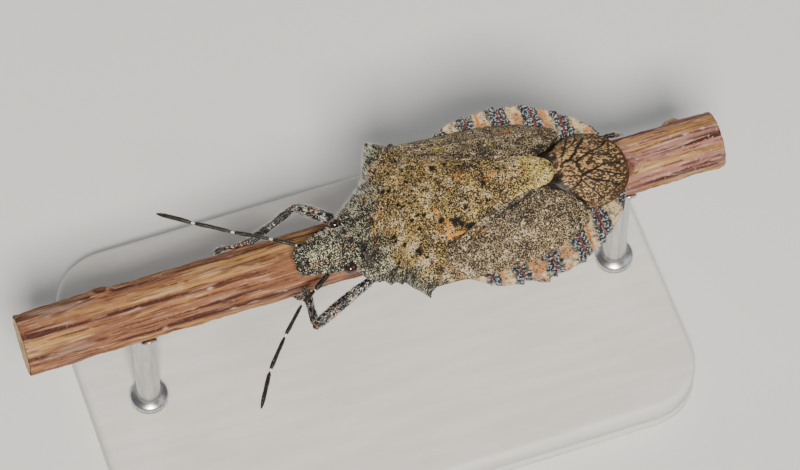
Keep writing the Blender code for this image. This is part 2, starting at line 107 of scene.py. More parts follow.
PERCH_PLACE = Place((-4.5, 0.0, 11.0))
BUG_PLACE = Place((-4.5, -1.5, 11.2), -math.radians(1.15))
STAND_PLACE = Place((0.0, 0.0, 0.0))


def follow(stations: Stations, x: Array) -> Array:
    """Read the smooth curve through stations, held flat past both ends.

    Args:
        stations: (x, value) pairs with x rising.
        x: Where to read the curve.

    Returns:
        The values at x.
    """
    xs, ys = np.array(stations, float).T
    slopes = np.diff(ys) / np.diff(xs)
    tangents = np.concatenate((slopes[:1], 0.5 * (slopes[1:] + slopes[:-1]), slopes[-1:]))
    x = np.clip(np.asarray(x, float), xs[0], xs[-1])
    i = np.clip(np.searchsorted(xs, x, side="right") - 1, 0, len(xs) - 2)
    run = xs[i + 1] - xs[i]
    rise = ys[i + 1] - ys[i]
    t = (x - xs[i]) / run
    start, end = tangents[i] * run, tangents[i + 1] * run
    return ys[i] + start * t + (3 * rise - 2 * start - end) * t * t + (start + end - 2 * rise) * t ** 3


def step(low: float, high: float, value: Array) -> Array:
    """Soft step from 0 at low to 1 at high, where low may be the larger one."""
    t = np.clip((value - low) / (high - low), 0.0, 1.0)
    return t * t * (3.0 - 2.0 * t)


def spots(plan: Array, places: Spots, soft: float = 0.3, ragged: float = 0.25) -> Array:
    """Mask of round spots with uneven edges.

    Args:
        plan: Points whose x and y are read.
        places: (x, y, radius) of each spot.
        soft: Share of the radius over which a spot fades.
        ragged: How far its edge wanders, as a share of the radius.

    Returns:
        1 inside the spots and 0 away from them.
    """
    mask = np.zeros(plan.shape[:-1])
    wander = ragged * Grain.lumps(flat(plan), 0.16, 71) if ragged else 0.0
    for x, y, radius in places:
        away = np.hypot(plan[..., 0] - x, plan[..., 1] - y) / radius + wander
        mask = np.maximum(mask, step(1.0 + soft, 1.0 - soft, away))
    return mask


def stroke(plan: Array, line: Stations, width: float) -> Array:
    """Mask of a line drawn through plan points.

    Args:
        plan: Points whose x and y are read.
        line: The line's corners.
        width: Distance from the line at which the mask is 0.

    Returns:
        1 on the line and 0 away from it.
    """
    nearest = np.full(plan.shape[:-1], 1e9)
    for (ax, ay), (bx, by) in zip(line, line[1:]):
        dx, dy = bx - ax, by - ay
        t = ((plan[..., 0] - ax) * dx + (plan[..., 1] - ay) * dy) / (dx * dx + dy * dy)
        t = np.clip(t, 0.0, 1.0)
        nearest = np.minimum(nearest, np.hypot(plan[..., 0] - ax - t * dx, plan[..., 1] - ay - t * dy))
    return step(width, 0.35 * width, nearest)


def flat(points: Array) -> Array:
    """The points with their height taken out."""
    level = np.array(points, float)
    level[..., 2] = 0.0
    return level


class Grain:
    """Repeatable noise, the same at each run."""

    BITS = 0xFFFFFFFF

    @classmethod
    def chance(cls, cell: Array, seed: int) -> Array:
        """Even random numbers from 0 to 1 for whole-number lattice cells."""
        mixed = cell[..., 0] * 374761393 + cell[..., 1] * 668265263 + cell[..., 2] * 2147483629
        mixed = (mixed + seed * 1274126177) & cls.BITS
        mixed = ((mixed ^ (mixed >> 13)) * 1274126177) & cls.BITS
        return ((mixed ^ (mixed >> 16)) & cls.BITS) / cls.BITS

    @classmethod
    def lumps(cls, points: Array, size: float, seed: int) -> Array:
        """Smooth noise from -1 to 1.

        Args:
            points: Where to read it.
            size: Width of a lump.
            seed: Number of the pattern.

        Returns:
            One value a point.
        """
        scaled = points / size
        base = np.floor(scaled).astype(np.int64)
        t = scaled - base
        t = t * t * (3.0 - 2.0 * t)
        total = np.zeros(points.shape[:-1])
        for corner in np.ndindex(2, 2, 2):
            weight = np.prod(np.where(np.array(corner) == 1, t, 1.0 - t), axis=-1)
            total += weight * cls.chance(base + np.array(corner), seed)
        return 2.0 * total - 1.0

    @classmethod
    def rough(cls, points: Array, size: float, seed: int, octaves: int = 3) -> Array:
        """Lumps on lumps: each octave is half as wide and half as high as the last."""
        return sum(cls.lumps(points, size / 2 ** k, seed + k) / 2 ** k for k in range(octaves))

    @classmethod
    def patches(cls, points: Array, size: float, seed: int, low: float, high: float) -> Array:
        """Soft-edged patches: 0 where the rough noise is under low, 1 where it is over high."""
        return step(low, high, cls.rough(points, size, seed))

    @classmethod
    def cells(cls, points: Array, size: float, seed: int, level: bool = False) -> tuple[Array, Array]:
        """Scattered points, about one in each cell of a lattice.

        Args:
            points: Where to read the pattern.
            size: Width of a cell.
            seed: Number of the pattern.
            level: Whether the pattern is one flat layer.

        Returns:
            Distance to the nearest scattered point in cell widths, and that point's random number.
        """
        scaled = points / size
        base = np.floor(scaled).astype(np.int64)
        nearest = np.full(points.shape[:-1], 9.0)
        number = np.zeros(points.shape[:-1])
        for shift in np.ndindex(3, 3, 1 if level else 3):
            cell = base + np.array(shift) - np.array((1, 1, 0 if level else 1))
            centre = cell + np.stack([cls.chance(cell, seed + k) for k in (1, 2, 3)], -1)
            if level:
                centre[..., 2] = scaled[..., 2]
            away = np.linalg.norm(scaled - centre, axis=-1)
            closer = away < nearest
            number = np.where(closer, cls.chance(cell, seed + 4), number)
            nearest = np.where(closer, away, nearest)
        return nearest, number


def grid_quads(rows: int, columns: int, wrap: bool = False) -> Array:
    """Corner numbers of a grid's quads, whose points are stored row by row.

    Args:
        rows: Number of rows.
        columns: Points in each row.
        wrap: Whether the last column joins the first.

    Returns:
        One line of four numbers for each quad.
    """
    r = np.arange(rows - 1)[:, None]
    c = np.arange(columns if wrap else columns - 1)[None, :]
    here = r * columns + c
    beside = r * columns + (c + 1) % columns
    return np.stack((here, beside, beside + columns, here + columns), -1).reshape(-1, 4)


class Form:
    """Closed shapes gathered into one piece, with mask values at each point."""

    def __init__(self) -> None:
        """Start with nothing."""
        self.points: list[Array] = []
        self.faces: list[Array] = []
        self.masks: list[dict[Mask, Array]] = []
        self.count = 0

    @staticmethod
    def inside_out(points: Array, faces: list[Array]) -> bool:
        """Whether a closed shape's faces point inwards."""
        volume = 0.0
        centred = points - points.mean(0)
        for group in faces:
            for k in range(1, group.shape[1] - 1):
                a, b, c = (centred[group[:, i]] for i in (0, k, k + 1))
                volume += float(np.einsum("ij,ij->i", a, np.cross(b, c)).sum())
        return volume < 0.0

    def add(self, points: Array, faces: list[Array], masks: dict[Mask, Array] | None = None) -> None:
        """Add one closed shape.

        Args:
            points: Its points.
            faces: Groups of faces with equal numbers of corners.
            masks: Values at its points. A mask left out is 0.
        """
        if self.inside_out(points, faces):
            faces = [group[:, ::-1] for group in faces]
        self.points.append(points)
        self.faces += [group + self.count for group in faces]
        self.masks.append(masks or {})
        self.count += len(points)

    @staticmethod
    def within(masks: dict[Mask, Array] | None) -> dict[Mask, Array]:
        """The masks, kept between 0 and 1."""
        return {name: np.clip(values, 0.0, 1.0) for name, values in (masks or {}).items()}

    def add_tube(self, grid: Array, masks: dict[Mask, Array] | None = None) -> None:
        """Add a shape of rings, each end closed by a fan.

        Args:
            grid: Points as ring, place on the ring, coordinate.
            masks: Values as ring, place on the ring.
        """
        rows, columns = grid.shape[:2]
        points = np.concatenate((grid.reshape(-1, 3), grid[[0, -1]].mean(1)))
        ring = np.arange(columns)
        ahead = np.roll(ring, -1)
        last = (rows - 1) * columns
        first_fan = np.stack((ahead, ring, np.full(columns, rows * columns)), -1)
        last_fan = np.stack((ring + last, ahead + last, np.full(columns, rows * columns + 1)), -1)
        closed = {name: np.concatenate((values.ravel(), values[[0, -1]].mean(1)))
                  for name, values in self.within(masks).items()}
        self.add(points, [grid_quads(rows, columns, True), first_fan, last_fan], closed)

    def add_plate(self, top: Array, thickness: float, masks: dict[Mask, Array] | None = None) -> None:
        """Add a plate under a grid of points.

        Args:
            top: Points as row, column, coordinate.
            thickness: How far its underside lies below, away from its thin border.
            masks: Values as row, column.
        """
        rows, columns = top.shape[:2]
        deep = thickness * (0.22 + 0.78 * step(0.0, 0.9 * thickness, edge_ways(top).min(0)))
        below = top - np.stack((0.0 * deep, 0.0 * deep, deep), -1)
        points = np.concatenate((top.reshape(-1, 3), below.reshape(-1, 3)))
        count = rows * columns
        upper = grid_quads(rows, columns)
        border = np.concatenate((
            np.arange(columns),
            np.arange(1, rows) * columns + columns - 1,
            (rows - 1) * columns + np.arange(columns - 2, -1, -1),
            np.arange(rows - 2, 0, -1) * columns,
        ))
        ahead = np.roll(border, -1)
        wall = np.stack((ahead, border, border + count, ahead + count), -1)
        both = {name: np.tile(values.ravel(), 2) for name, values in self.within(masks).items()}
        self.add(points, [upper, upper[:, ::-1] + count, wall], both)

    def build(self, name: str, place: Place, finish: bpy.types.Material) -> bpy.types.Object:
        """Make the object of what was gathered.

        Args:
            name: The piece's name.
            place: The frame that the points are in.
            finish: Its material.

        Returns:
            The new object, at the origin of the row frame.
        """
        mesh = bpy.data.meshes.new(name)
        corners = [corner for group in self.faces for corner in group.tolist()]
        mesh.from_pydata(place.to_row(np.concatenate(self.points)).tolist(), [], corners)
        for mask in sorted({key for masks in self.masks for key in masks}):
            parts = [np.broadcast_to(masks.get(mask, 0.0), len(points))
                     for points, masks in zip(self.points, self.masks)]
            layer = mesh.attributes.new(mask.value, "FLOAT", "POINT")
            layer.data.foreach_set("value", np.concatenate(parts).astype(np.float32))
        mesh.shade_smooth()
        mesh.materials.append(finish)
        return link(name, mesh)


def edge_ways(top: Array) -> Array:
    """Distances in plan from each grid point to the four edges, as edge, row, column."""
    def ways(axis: int) -> tuple[Array, Array]:
        """Distances from both ends of each line along an axis."""
        runs = np.linalg.norm(np.diff(top[..., :2], axis=axis), axis=-1)
        start = np.concatenate((np.zeros_like(np.take(runs, [0], axis)), np.cumsum(runs, axis)), axis)
        return start, np.take(start, [-1], axis) - start

    return np.stack((*ways(1), *ways(0)))


def roll_edges(top: Array, radius: float, depth: float) -> Array:
    """Round over the border of a grid of points.

    Args:
        top: Points as row, column, coordinate.
        radius: Width of the rounding.
        depth: How far the border sinks.

    Returns:
        The points with their border lowered.
    """
    inside = np.clip(1.0 - edge_ways(top).min(0) / radius, 0.0, 1.0)
    rolled = top.copy()
    rolled[..., 2] -= depth * (1.0 - np.sqrt(1.0 - inside ** 2))
    return rolled


def tube_grid(path: Array, radii: Array, sides: int) -> tuple[Array, Array]:
    """Round rings along a path, with no twist from ring to ring.

    Args:
        path: The path's points.
        radii: Radius at each of them.
        sides: Points on a ring.

    Returns:
        Points as ring, place on the ring, coordinate, and the outward direction at each.
    """
    along = np.gradient(path, axis=0)
    along /= np.linalg.norm(along, axis=1, keepdims=True)
    side = np.array((1.0, 0.0, 0.0)) if abs(along[0, 2]) > 0.9 else np.array((0.0, 0.0, 1.0))
    turns = 2.0 * math.pi * np.arange(sides) / sides
    outward = np.empty((len(path), sides, 3))
    for i, axis in enumerate(along):
        side = side - axis * side.dot(axis)
        side /= np.linalg.norm(side)
        outward[i] = np.outer(np.cos(turns), side) + np.outer(np.sin(turns), np.cross(axis, side))
    return path[:, None] + radii[:, None, None] * outward, outward


def sample_path(corners: Array, spacing: float) -> Array:
    """Walk a line of corners in even steps and soften its bends.

    Args:
        corners: The line's points.
        spacing: Length of a step.

    Returns:
        The points.
    """
    runs = np.linalg.norm(np.diff(corners, axis=0), axis=1)
    reach = np.concatenate(([0.0], np.cumsum(runs)))
    at = np.linspace(0.0, reach[-1], int(reach[-1] / spacing) + 2)
    path = np.stack([np.interp(at, reach, column) for column in corners.T], -1)
    path[1:-1] = 0.25 * path[:-2] + 0.5 * path[1:-1] + 0.25 * path[2:]
    return path


def ball_grid(centre: Point, radii: Point, rings: int, sides: int) -> Array:
    """Rings of an ellipsoid, from its lower to its upper pole."""
    lift = np.linspace(-0.5 * math.pi, 0.5 * math.pi, rings + 2)[1:-1, None]
    turn = 2.0 * math.pi * np.arange(sides)[None, :] / sides
    unit = np.stack((np.cos(lift) * np.cos(turn), np.cos(lift) * np.sin(turn),
                     np.sin(lift) + 0.0 * turn), -1)
    return np.array(centre) + unit * np.array(radii)


class Tree:
    """Shorthand for the nodes and links of any node tree."""

    def __init__(self, tree: bpy.types.NodeTree) -> None:
        """Work on a tree."""
        self.tree = tree

    def put(self, value: object, socket: Socket) -> None:
        """Link a socket to another, or set it to a number, vector or colour."""
        if isinstance(value, Socket):
            self.tree.links.new(value, socket)
        elif isinstance(value, tuple) and socket.type == "RGBA":
            socket.default_value = (*value, 1.0)
        else:
            socket.default_value = value

    def node(self, kind: str, inputs: dict | None = None, **settings: object) -> bpy.types.Node:
        """A new node with some of its settings and inputs, which may be other nodes' sockets."""
        made = self.tree.nodes.new(kind)
        for key, value in settings.items():
            setattr(made, key, value)
        for key, value in (inputs or {}).items():
            self.put(value, made.inputs[key])
        return made


class Graph(Tree):
    """Shorthand for a material's nodes and links."""

    def __init__(self, name: str, roughness: float, specular: float) -> None:
        """Start a material with a Principled shader."""
        self.material = bpy.data.materials.new(name)
        self.material.use_nodes = True
        super().__init__(self.material.node_tree)
        self.shader = self.tree.nodes["Principled BSDF"]
        self.set("Roughness", roughness)
        self.set("Specular IOR Level", specular)

    def set(self, name: str, value: object) -> None:
        """Set or link one of the shader's own inputs."""
        self.put(value, self.shader.inputs[name])

    def place(self, stretch: Point = (1.0, 1.0, 1.0)) -> Socket:
        """Object coordinates in millimetres, each axis times its stretch."""
        at = self.node("ShaderNodeTexCoord").outputs["Object"]
        size = tuple(k / MM for k in stretch)
        return self.node("ShaderNodeMapping", {"Scale": size, "Vector": at}).outputs[0]

    def mask(self, mask: Mask) -> Socket:
        """The piece's own mask."""
        return self.node("ShaderNodeAttribute", attribute_name=mask.value).outputs["Fac"]

    def maths(self, how: str, a: object, b: object) -> Socket:
        """One sum, product or the like, kept within 0 and 1."""
        return self.node("ShaderNodeMath", {0: a, 1: b}, operation=how, use_clamp=True).outputs[0]

    def times(self, a: object, b: object) -> Socket:
        """Product of two values, kept within 0 and 1."""
        return self.maths("MULTIPLY", a, b)

    def band(self, value: object, low: float, high: float) -> Socket:
        """Soft step from 0 at low to 1 at high."""
        return self.node("ShaderNodeMapRange", {"Value": value, "From Min": low, "From Max": high},
                         interpolation_type="SMOOTHSTEP").outputs["Result"]

    def scale(self, value: object, low: float, high: float) -> Socket:
        """0 to 1 as low to high."""
        made = self.node("ShaderNodeMapRange", {"Value": value, "To Min": low, "To Max": high})
        return made.outputs["Result"]

    def mix(self, share: object, a: object, b: object) -> Socket:
        """Colour a turned towards colour b."""
        return self.node("ShaderNodeMix", {"Factor": share, 6: a, 7: b}, data_type="RGBA").outputs[2]

    def noise(self, vector: object, size: float, detail: float = 2.0) -> Socket:
        """Noise whose lumps are about size wide."""
        made = self.node("ShaderNodeTexNoise", {"Vector": vector, "Scale": 1.0 / size, "Detail": detail})
        return made.outputs["Fac"]

    def blotches(self, vector: object, size: float, detail: float, low: float, high: float) -> Socket:
        """Noise as patches with soft edges."""
        return self.band(self.noise(vector, size, detail), low, high)

    def warp(self, vector: object, size: float, amount: float) -> Socket:
        """The vector, pushed about by noise."""
        pushed = self.node("ShaderNodeTexNoise", {"Vector": vector, "Scale": 1.0 / size}).outputs["Color"]
        return self.node("ShaderNodeVectorMath", {0: pushed, 1: (amount,) * 3, 2: vector},
                         operation="MULTIPLY_ADD").outputs[0]

    def cells(self, vector: object, size: float, feature: str = "F1") -> bpy.types.bpy_prop_collection:
        """Outputs of a cell pattern whose cells are about size wide."""
        inputs = {"Vector": vector, "Scale": 1.0 / size}
        return self.node("ShaderNodeTexVoronoi", inputs, feature=feature).outputs

    def bump(self, height: object, depth: float, strength: float = 1.0) -> None:
        """Relief of that depth in millimetres, over any that the shader has."""
        made = self.node("ShaderNodeBump", {"Distance": depth * MM, "Strength": strength, "Height": height})
        earlier = self.shader.inputs["Normal"]
        if earlier.is_linked:
            self.put(earlier.links[0].from_socket, made.inputs["Normal"])
        self.put(made.outputs["Normal"], earlier)

    def done(self, colour: object) -> bpy.types.Material:
        """Set the base colour and give the material."""
        self.set("Base Color", colour)
        return self.material


@dataclass(frozen=True)
class Cuticle:
    """Punctured cuticle: crisp pale grain on a darker ground, in drifting patches of two colours.

    The masks turn it towards its cool, warm and lichen colours, each with a tone for the ground and a
    paler one for the grain.
    """

    name: str
    ground: Colour
    second: Colour
    pale: Colour = (0.76, 0.54, 0.20)
    dark: Colour = (0.010, 0.007, 0.004)
    warm: Colour = (0.58, 0.17, 0.02)
    lichen: Colour = (0.36, 0.26, 0.035)
    cool: Colour = (0.05, 0.047, 0.034)
    cream_pale: Colour = (0.84, 0.70, 0.46)
    lichen_pale: Colour = (0.84, 0.72, 0.22)
    cool_pale: Colour = (0.72, 0.72, 0.50)
    warm_pale: Colour = (0.85, 0.42, 0.10)
    speck: Colour = (0.90, 0.84, 0.68)
    mark: Colour = (0.68, 0.27, 0.03)
    hollow: Colour = (0.006, 0.005, 0.004)
    grain: float = 0.056
    cover: float = 0.505
    contrast: float = 0.8
    shift: float = 0.13
    pits: float = 0.30
    sparkle: float = 0.5
    roughness: float = 0.58
    relief: float = 0.02

    def material(self) -> bpy.types.Material:
        """Make the finish's nodes."""
        g = Graph(self.name, self.roughness, 0.4)
        at = g.place()
        dark, pale, cool = g.mask(Mask.DARK), g.mask(Mask.PALE), g.mask(Mask.COOL)
        warm = g.times(g.mask(Mask.WARM), 0.9)
        lichen = g.times(g.mask(Mask.LICHEN), 0.85)
        dusk = g.blotches(g.warp(at, 0.8, 0.5), 0.95, 3.0, 0.50, 0.64)
        cream = g.blotches(g.warp(at, 0.5, 0.4), 0.6, 3.0, 0.50, 0.62)
        base = g.mix(g.blotches(at, 1.3, 4.0, 0.42, 0.6), self.ground, self.second)
        base = g.mix(g.times(dusk, 0.5), base, self.dark)
        bright = g.mix(g.times(cream, 0.75), self.pale, self.cream_pale)
        for share, tone, pale_tone in ((lichen, self.lichen, self.lichen_pale),
                                       (cool, self.cool, self.cool_pale),
                                       (warm, self.warm, self.warm_pale)):
            base, bright = g.mix(share, base, tone), g.mix(share, bright, pale_tone)
        level = g.noise(g.warp(at, self.grain * 2.0, self.grain), self.grain, 1.0)
        for how, value, low, high in (
                ("ADD", g.noise(at, 0.4, 2.0), -0.06, 0.06), ("ADD", cream, -0.012, 0.035),
                ("SUBTRACT", dusk, 0.0, 0.02), ("SUBTRACT", cool, 0.0, 0.014),
                ("ADD", pale, 0.0, self.shift), ("SUBTRACT", dark, 0.0, self.shift)):
            level = g.maths(how, level, g.scale(value, low, high))
        coat = g.mix(g.band(level, self.cover - 0.09, self.cover - 0.03), self.dark, base)
        high = g.band(level, self.cover + 0.02, self.cover + 0.07)
        coat = g.mix(g.times(high, self.contrast), coat, bright)
        star = g.cells(g.warp(at, 0.09, 0.12), 0.33)
        speck = g.times(g.band(star["Distance"], 0.24, 0.12), g.band(star["Color"], 0.45, 0.6))
        coat = g.mix(g.times(speck, g.scale(pale, 0.6 * self.sparkle, self.sparkle)), coat, self.speck)
        hole = g.cells(g.warp(at, 0.2, 0.1), 0.19)
        reach = g.maths("ADD", self.pits, g.scale(hole["Color"], -0.2, 0.1))
        pit = g.band(g.maths("SUBTRACT", reach, hole["Distance"]), 0.0, 0.08)
        coat = g.mix(g.times(pit, 0.9), coat, self.dark)
        coat = g.mix(g.band(g.mask(Mask.WARM), 0.72, 0.92), coat, self.mark)
        g.bump(g.times(g.maths("SUBTRACT", 1.0, pit), g.band(level, 0.35, 0.65)), self.relief)
        return g.done(g.mix(g.mask(Mask.PIT), coat, self.hollow))


@dataclass(frozen=True)
class RimCuticle:
    """Abdomen: tan belly, and a rim banded cream, blue-black and orange."""

    name: str
    ground: Colour = (0.36, 0.27, 0.14)
    second: Colour = (0.24, 0.17, 0.09)
    cream: Colour = (0.70, 0.53, 0.30)
    band: Colour = (0.019, 0.022, 0.030)
    fleck: Colour = (0.40, 0.45, 0.46)
    warm: Colour = (0.50, 0.16, 0.03)
    suture: Colour = (0.20, 0.03, 0.012)
    dot: Colour = (0.02, 0.014, 0.01)
    hollow: Colour = (0.008, 0.006, 0.005)
    grain: float = 0.11

    def material(self) -> bpy.types.Material:
        """Make the finish's nodes."""
        g = Graph(self.name, 0.55, 0.4)
        at = g.place()
        bent = g.warp(at, 0.16, 0.1)
        hole = g.cells(bent, self.grain)
        dot = g.band(g.maths("SUBTRACT", g.scale(hole["Color"], 0.16, 0.44), hole["Distance"]), 0.0, 0.1)
        net = g.band(g.cells(bent, self.grain, "DISTANCE_TO_EDGE")["Distance"], 0.2, 0.08)
        base = g.mix(g.blotches(at, 0.9, 3.0, 0.4, 0.65), self.ground, self.second)
        stripes = g.mix(g.times(net, g.blotches(at, 0.12, 1.0, 0.5, 0.58)), self.band, self.fleck)
        for share, tone in ((g.mask(Mask.PALE), self.cream), (g.mask(Mask.WARM), self.warm),
                            (g.times(dot, 0.8), self.dot), (g.mask(Mask.DARK), stripes),
                            (g.mask(Mask.RIM), self.suture), (g.mask(Mask.PIT), self.hollow)):
            base = g.mix(share, base, tone)
        g.bump(g.maths("SUBTRACT", 1.0, dot), 0.014)
        g.bump(net, 0.008)
        return g.done(base)


@dataclass(frozen=True)
class WingMembrane:
    """Thin wing: tan, with short dark flecks between branching veins and a brown rim."""

    name: str
    ground: Colour = (0.58, 0.38, 0.17)
    second: Colour = (0.40, 0.23, 0.10)
    fleck: Colour = (0.012, 0.007, 0.004)
    rim: Colour = (0.060, 0.016, 0.008)
    vein: Colour = (0.014, 0.007, 0.004)
    fleck_size: tuple[float, float] = (0.088, 0.105)

    def material(self) -> bpy.types.Material:
        """Make the finish's nodes."""
        g = Graph(self.name, 0.52, 0.35)
        at = g.place()
        unwrap = g.node("ShaderNodeUVMap", uv_map="wing").outputs["UV"]
        scale = (1.0 / self.fleck_size[0], 1.0 / self.fleck_size[1], 1.0)
        along = g.node("ShaderNodeMapping", {"Scale": scale, "Vector": unwrap}).outputs[0]
        drawn = g.noise(g.warp(along, 1.6, 0.8), 1.0, 1.0)
        level = g.maths("ADD", drawn, g.scale(g.noise(at, 0.5, 2.0), -0.09, 0.09))
        level = g.maths("ADD", level, g.scale(g.mask(Mask.COOL), 0.0, 0.09))
        base = g.mix(g.blotches(at, 0.8, 3.0, 0.4, 0.6), self.ground, self.second)
        for share, tone in ((g.scale(g.noise(at, 0.05, 1.0), 0.0, 0.35), self.second),
                            (g.times(g.band(level, 0.472, 0.515), 0.92), self.fleck),
                            (g.mask(Mask.DARK), self.fleck), (g.times(g.mask(Mask.RIM), 0.9), self.rim),
                            (g.mask(Mask.VEIN), self.vein)):
            base = g.mix(share, base, tone)
        g.bump(drawn, 0.02)
        g.bump(g.noise(at, 0.06, 1.0), 0.006)
        g.set("Coat Weight", 0.06)
        g.set("Coat Roughness", 0.3)
        return g.done(base)


@dataclass(frozen=True)
class Gloss:
    """Eye or ocellus: dark and shiny, with fine facets."""

    name: str
    deep: Colour
    glow: Colour
    facet: float

    def material(self) -> bpy.types.Material:
        """Make the finish's nodes."""
        g = Graph(self.name, 0.12, 0.6)
        at = g.place()
        facets = g.cells(at, self.facet)["Distance"]
        tone = g.mix(g.blotches(at, 0.25, 2.0, 0.4, 0.65), self.deep, self.glow)
        g.bump(facets, 0.0025, 0.5)
        g.set("Coat Weight", 0.6)
        g.set("Coat Roughness", 0.06)
        return g.done(g.mix(g.scale(facets, 0.0, 0.6), tone, self.deep))


@dataclass(frozen=True)
class Bristle:
    """Hair or claw stuff that pales towards its tip."""

    name: str
    root: Colour
    end: Colour

    def material(self) -> bpy.types.Material:
        """Make the finish's nodes."""
        g = Graph(self.name, 0.42, 0.5)
        tone = g.mix(g.noise(g.place(), 0.12, 2.0), self.root, self.end)
        return g.done(g.mix(g.times(g.mask(Mask.TIP), 0.7), tone, self.end))


@dataclass(frozen=True)
class Bark:
    """Thin bark with lengthwise streaks, and pale wood where it is cut."""

    name: str
    ground: Colour = (0.25, 0.105, 0.052)
    mauve: Colour = (0.34, 0.155, 0.125)
    ochre: Colour = (0.40, 0.215, 0.075)
    deep: Colour = (0.06, 0.018, 0.013)
    scale: Colour = (0.52, 0.38, 0.29)
    wood: Colour = (0.62, 0.45, 0.24)
    change_at: float = 3.0
    change_over: float = 8.0
    rings: float = 60.0

    def material(self) -> bpy.types.Material:
        """Make the finish's nodes."""
        g = Graph(self.name, 0.8, 0.25)
        at = g.place()
        x = g.node("ShaderNodeSeparateXYZ", {0: at}).outputs["X"]
        rearward = g.band(x, self.change_at - self.change_over, self.change_at + self.change_over)
        long_streaks = g.noise(g.place((0.035, 1.0, 1.0)), 0.4, 4.0)
        fine_streaks = g.noise(g.place((0.05, 1.0, 1.0)), 0.12, 4.0)
        depth = g.mask(Mask.DEPTH)
        turns = g.node("ShaderNodeMath", {0: depth, 1: self.rings}, operation="MULTIPLY").outputs[0]
        rings = g.node("ShaderNodeMath", {0: turns}, operation="SINE").outputs[0]
        wood = g.mix(g.scale(g.band(rings, -1.0, 1.0), 0.0, 0.4), self.wood, self.ochre)
        wood = g.mix(g.times(g.band(depth, 0.17, 0.11), 0.75), wood, self.deep)
        wood = g.mix(g.band(depth, 0.87, 0.92), wood, self.deep)
        base = g.mix(rearward, self.ground, self.mauve)
        for share, tone in (
                (g.band(long_streaks, 0.5, 0.62), self.ochre), (g.band(long_streaks, 0.47, 0.36), self.deep),
                (g.times(g.band(fine_streaks, 0.46, 0.34), 0.8), self.deep),
                (g.times(g.band(fine_streaks, 0.55, 0.68), g.scale(rearward, 0.55, 0.9)), self.scale),
                (g.times(g.blotches(at, 0.16, 3.0, 0.58, 0.7), g.scale(rearward, 0.15, 0.55)), self.scale),
                (g.mask(Mask.PALE), self.scale), (g.times(g.mask(Mask.PIT), 0.85), self.deep),
                (g.mask(Mask.CUT), wood)):
            base = g.mix(share, base, tone)
        g.bump(fine_streaks, 0.05)
        g.bump(g.noise(at, 0.1, 3.0), 0.02)
        return g.done(base)


@dataclass(frozen=True)
class Brushed:
    """Painted wood or brushed steel of the stand."""

    name: str
    ground: Colour
    second: Colour
    roughness: float
    metallic: float
    stretch: Point
    size: float
    relief: float

    def material(self) -> bpy.types.Material:
        """Make the finish's nodes."""
        g = Graph(self.name, self.roughness, 0.5)
        g.set("Metallic", self.metallic)
        drawn = g.noise(g.place(self.stretch), self.size, 3.0)
        g.bump(drawn, self.relief)
        return g.done(g.mix(g.band(drawn, 0.35, 0.65), self.ground, self.second))


class Finishes:
    """Every finish of the model, made once."""

    def __init__(self) -> None:
        """Make the materials."""
        self.back = Cuticle("back_cuticle", (0.185, 0.112, 0.030), (0.125, 0.07, 0.022),
                            relief=0.035).material()
        self.shield = Cuticle("scutellum_cuticle", (0.185, 0.112, 0.032), (0.125, 0.066, 0.024),
                              relief=0.035).material()
        self.corium = Cuticle("corium_cuticle", (0.125, 0.085, 0.042), (0.088, 0.060, 0.032),
                              pale=(0.66, 0.50, 0.29), grain=0.052, cover=0.515, contrast=0.72, sparkle=0.9,
                              relief=0.028).material()
        self.head = Cuticle("head_cuticle", (0.06, 0.055, 0.034), (0.05, 0.038, 0.024),
                            pale=(0.68, 0.68, 0.46), dark=(0.005, 0.005, 0.004), grain=0.062, cover=0.58,
                            contrast=0.95, pits=0.2, sparkle=0.3, relief=0.03).material()
        self.limb = Cuticle("limb_cuticle", (0.022, 0.026, 0.038), (0.03, 0.024, 0.028),
                            pale=(0.78, 0.79, 0.74), dark=(0.006, 0.007, 0.010), grain=0.07, cover=0.6,
                            contrast=0.9, shift=0.16, pits=0.1, sparkle=0.25, roughness=0.4,
                            relief=0.012).material()
        self.feeler = Cuticle("feeler_cuticle", (0.010, 0.009, 0.010), (0.018, 0.014, 0.013),
                              pale=(0.80, 0.78, 0.70), grain=0.06, cover=0.72, contrast=0.95, shift=0.4,
                              pits=0.05, sparkle=0.0, roughness=0.36, relief=0.006).material()
        self.underside = Cuticle("underside_cuticle", (0.30, 0.20, 0.085), (0.22, 0.14, 0.06),
                                 grain=0.09, contrast=0.5, pits=0.15, sparkle=0.3, relief=0.012).material()
        self.abdomen = RimCuticle("abdomen_cuticle").material()
        self.membrane = WingMembrane("wing_membrane").material()
        self.eye = Gloss("eye", (0.012, 0.006, 0.004), (0.055, 0.022, 0.012), facet=0.028).material()
        self.ocellus = Gloss("ocellus", (0.12, 0.02, 0.008), (0.4, 0.12, 0.03), facet=0.2).material()
        self.pale_hair = Bristle("pale_hair", (0.30, 0.26, 0.20), (0.80, 0.77, 0.70)).material()
        self.dark_hair = Bristle("dark_hair", (0.05, 0.04, 0.035), (0.30, 0.26, 0.21)).material()
        self.bark = Bark("bark").material()
        self.paint = Brushed("stand_paint", (0.70, 0.685, 0.65), (0.76, 0.74, 0.71), roughness=0.5,
                             metallic=0.0, stretch=(0.15, 1.0, 1.0), size=0.7, relief=0.02).material()
        self.steel = Brushed("stand_steel", (0.52, 0.52, 0.53), (0.66, 0.66, 0.66), roughness=0.3,
                             metallic=1.0, stretch=(1.0, 1.0, 0.06), size=0.08, relief=0.004).material()


def hang(piece: bpy.types.Object, slot: str, *nodes: str) -> None:
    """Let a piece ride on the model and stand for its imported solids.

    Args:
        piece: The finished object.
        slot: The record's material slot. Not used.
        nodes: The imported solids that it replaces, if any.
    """
    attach(piece, BODY)
    if nodes:
        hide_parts(*nodes)
    LOG.info("%s: %d faces, stands for %s", piece.name, len(piece.data.polygons), ", ".join(nodes) or "none")


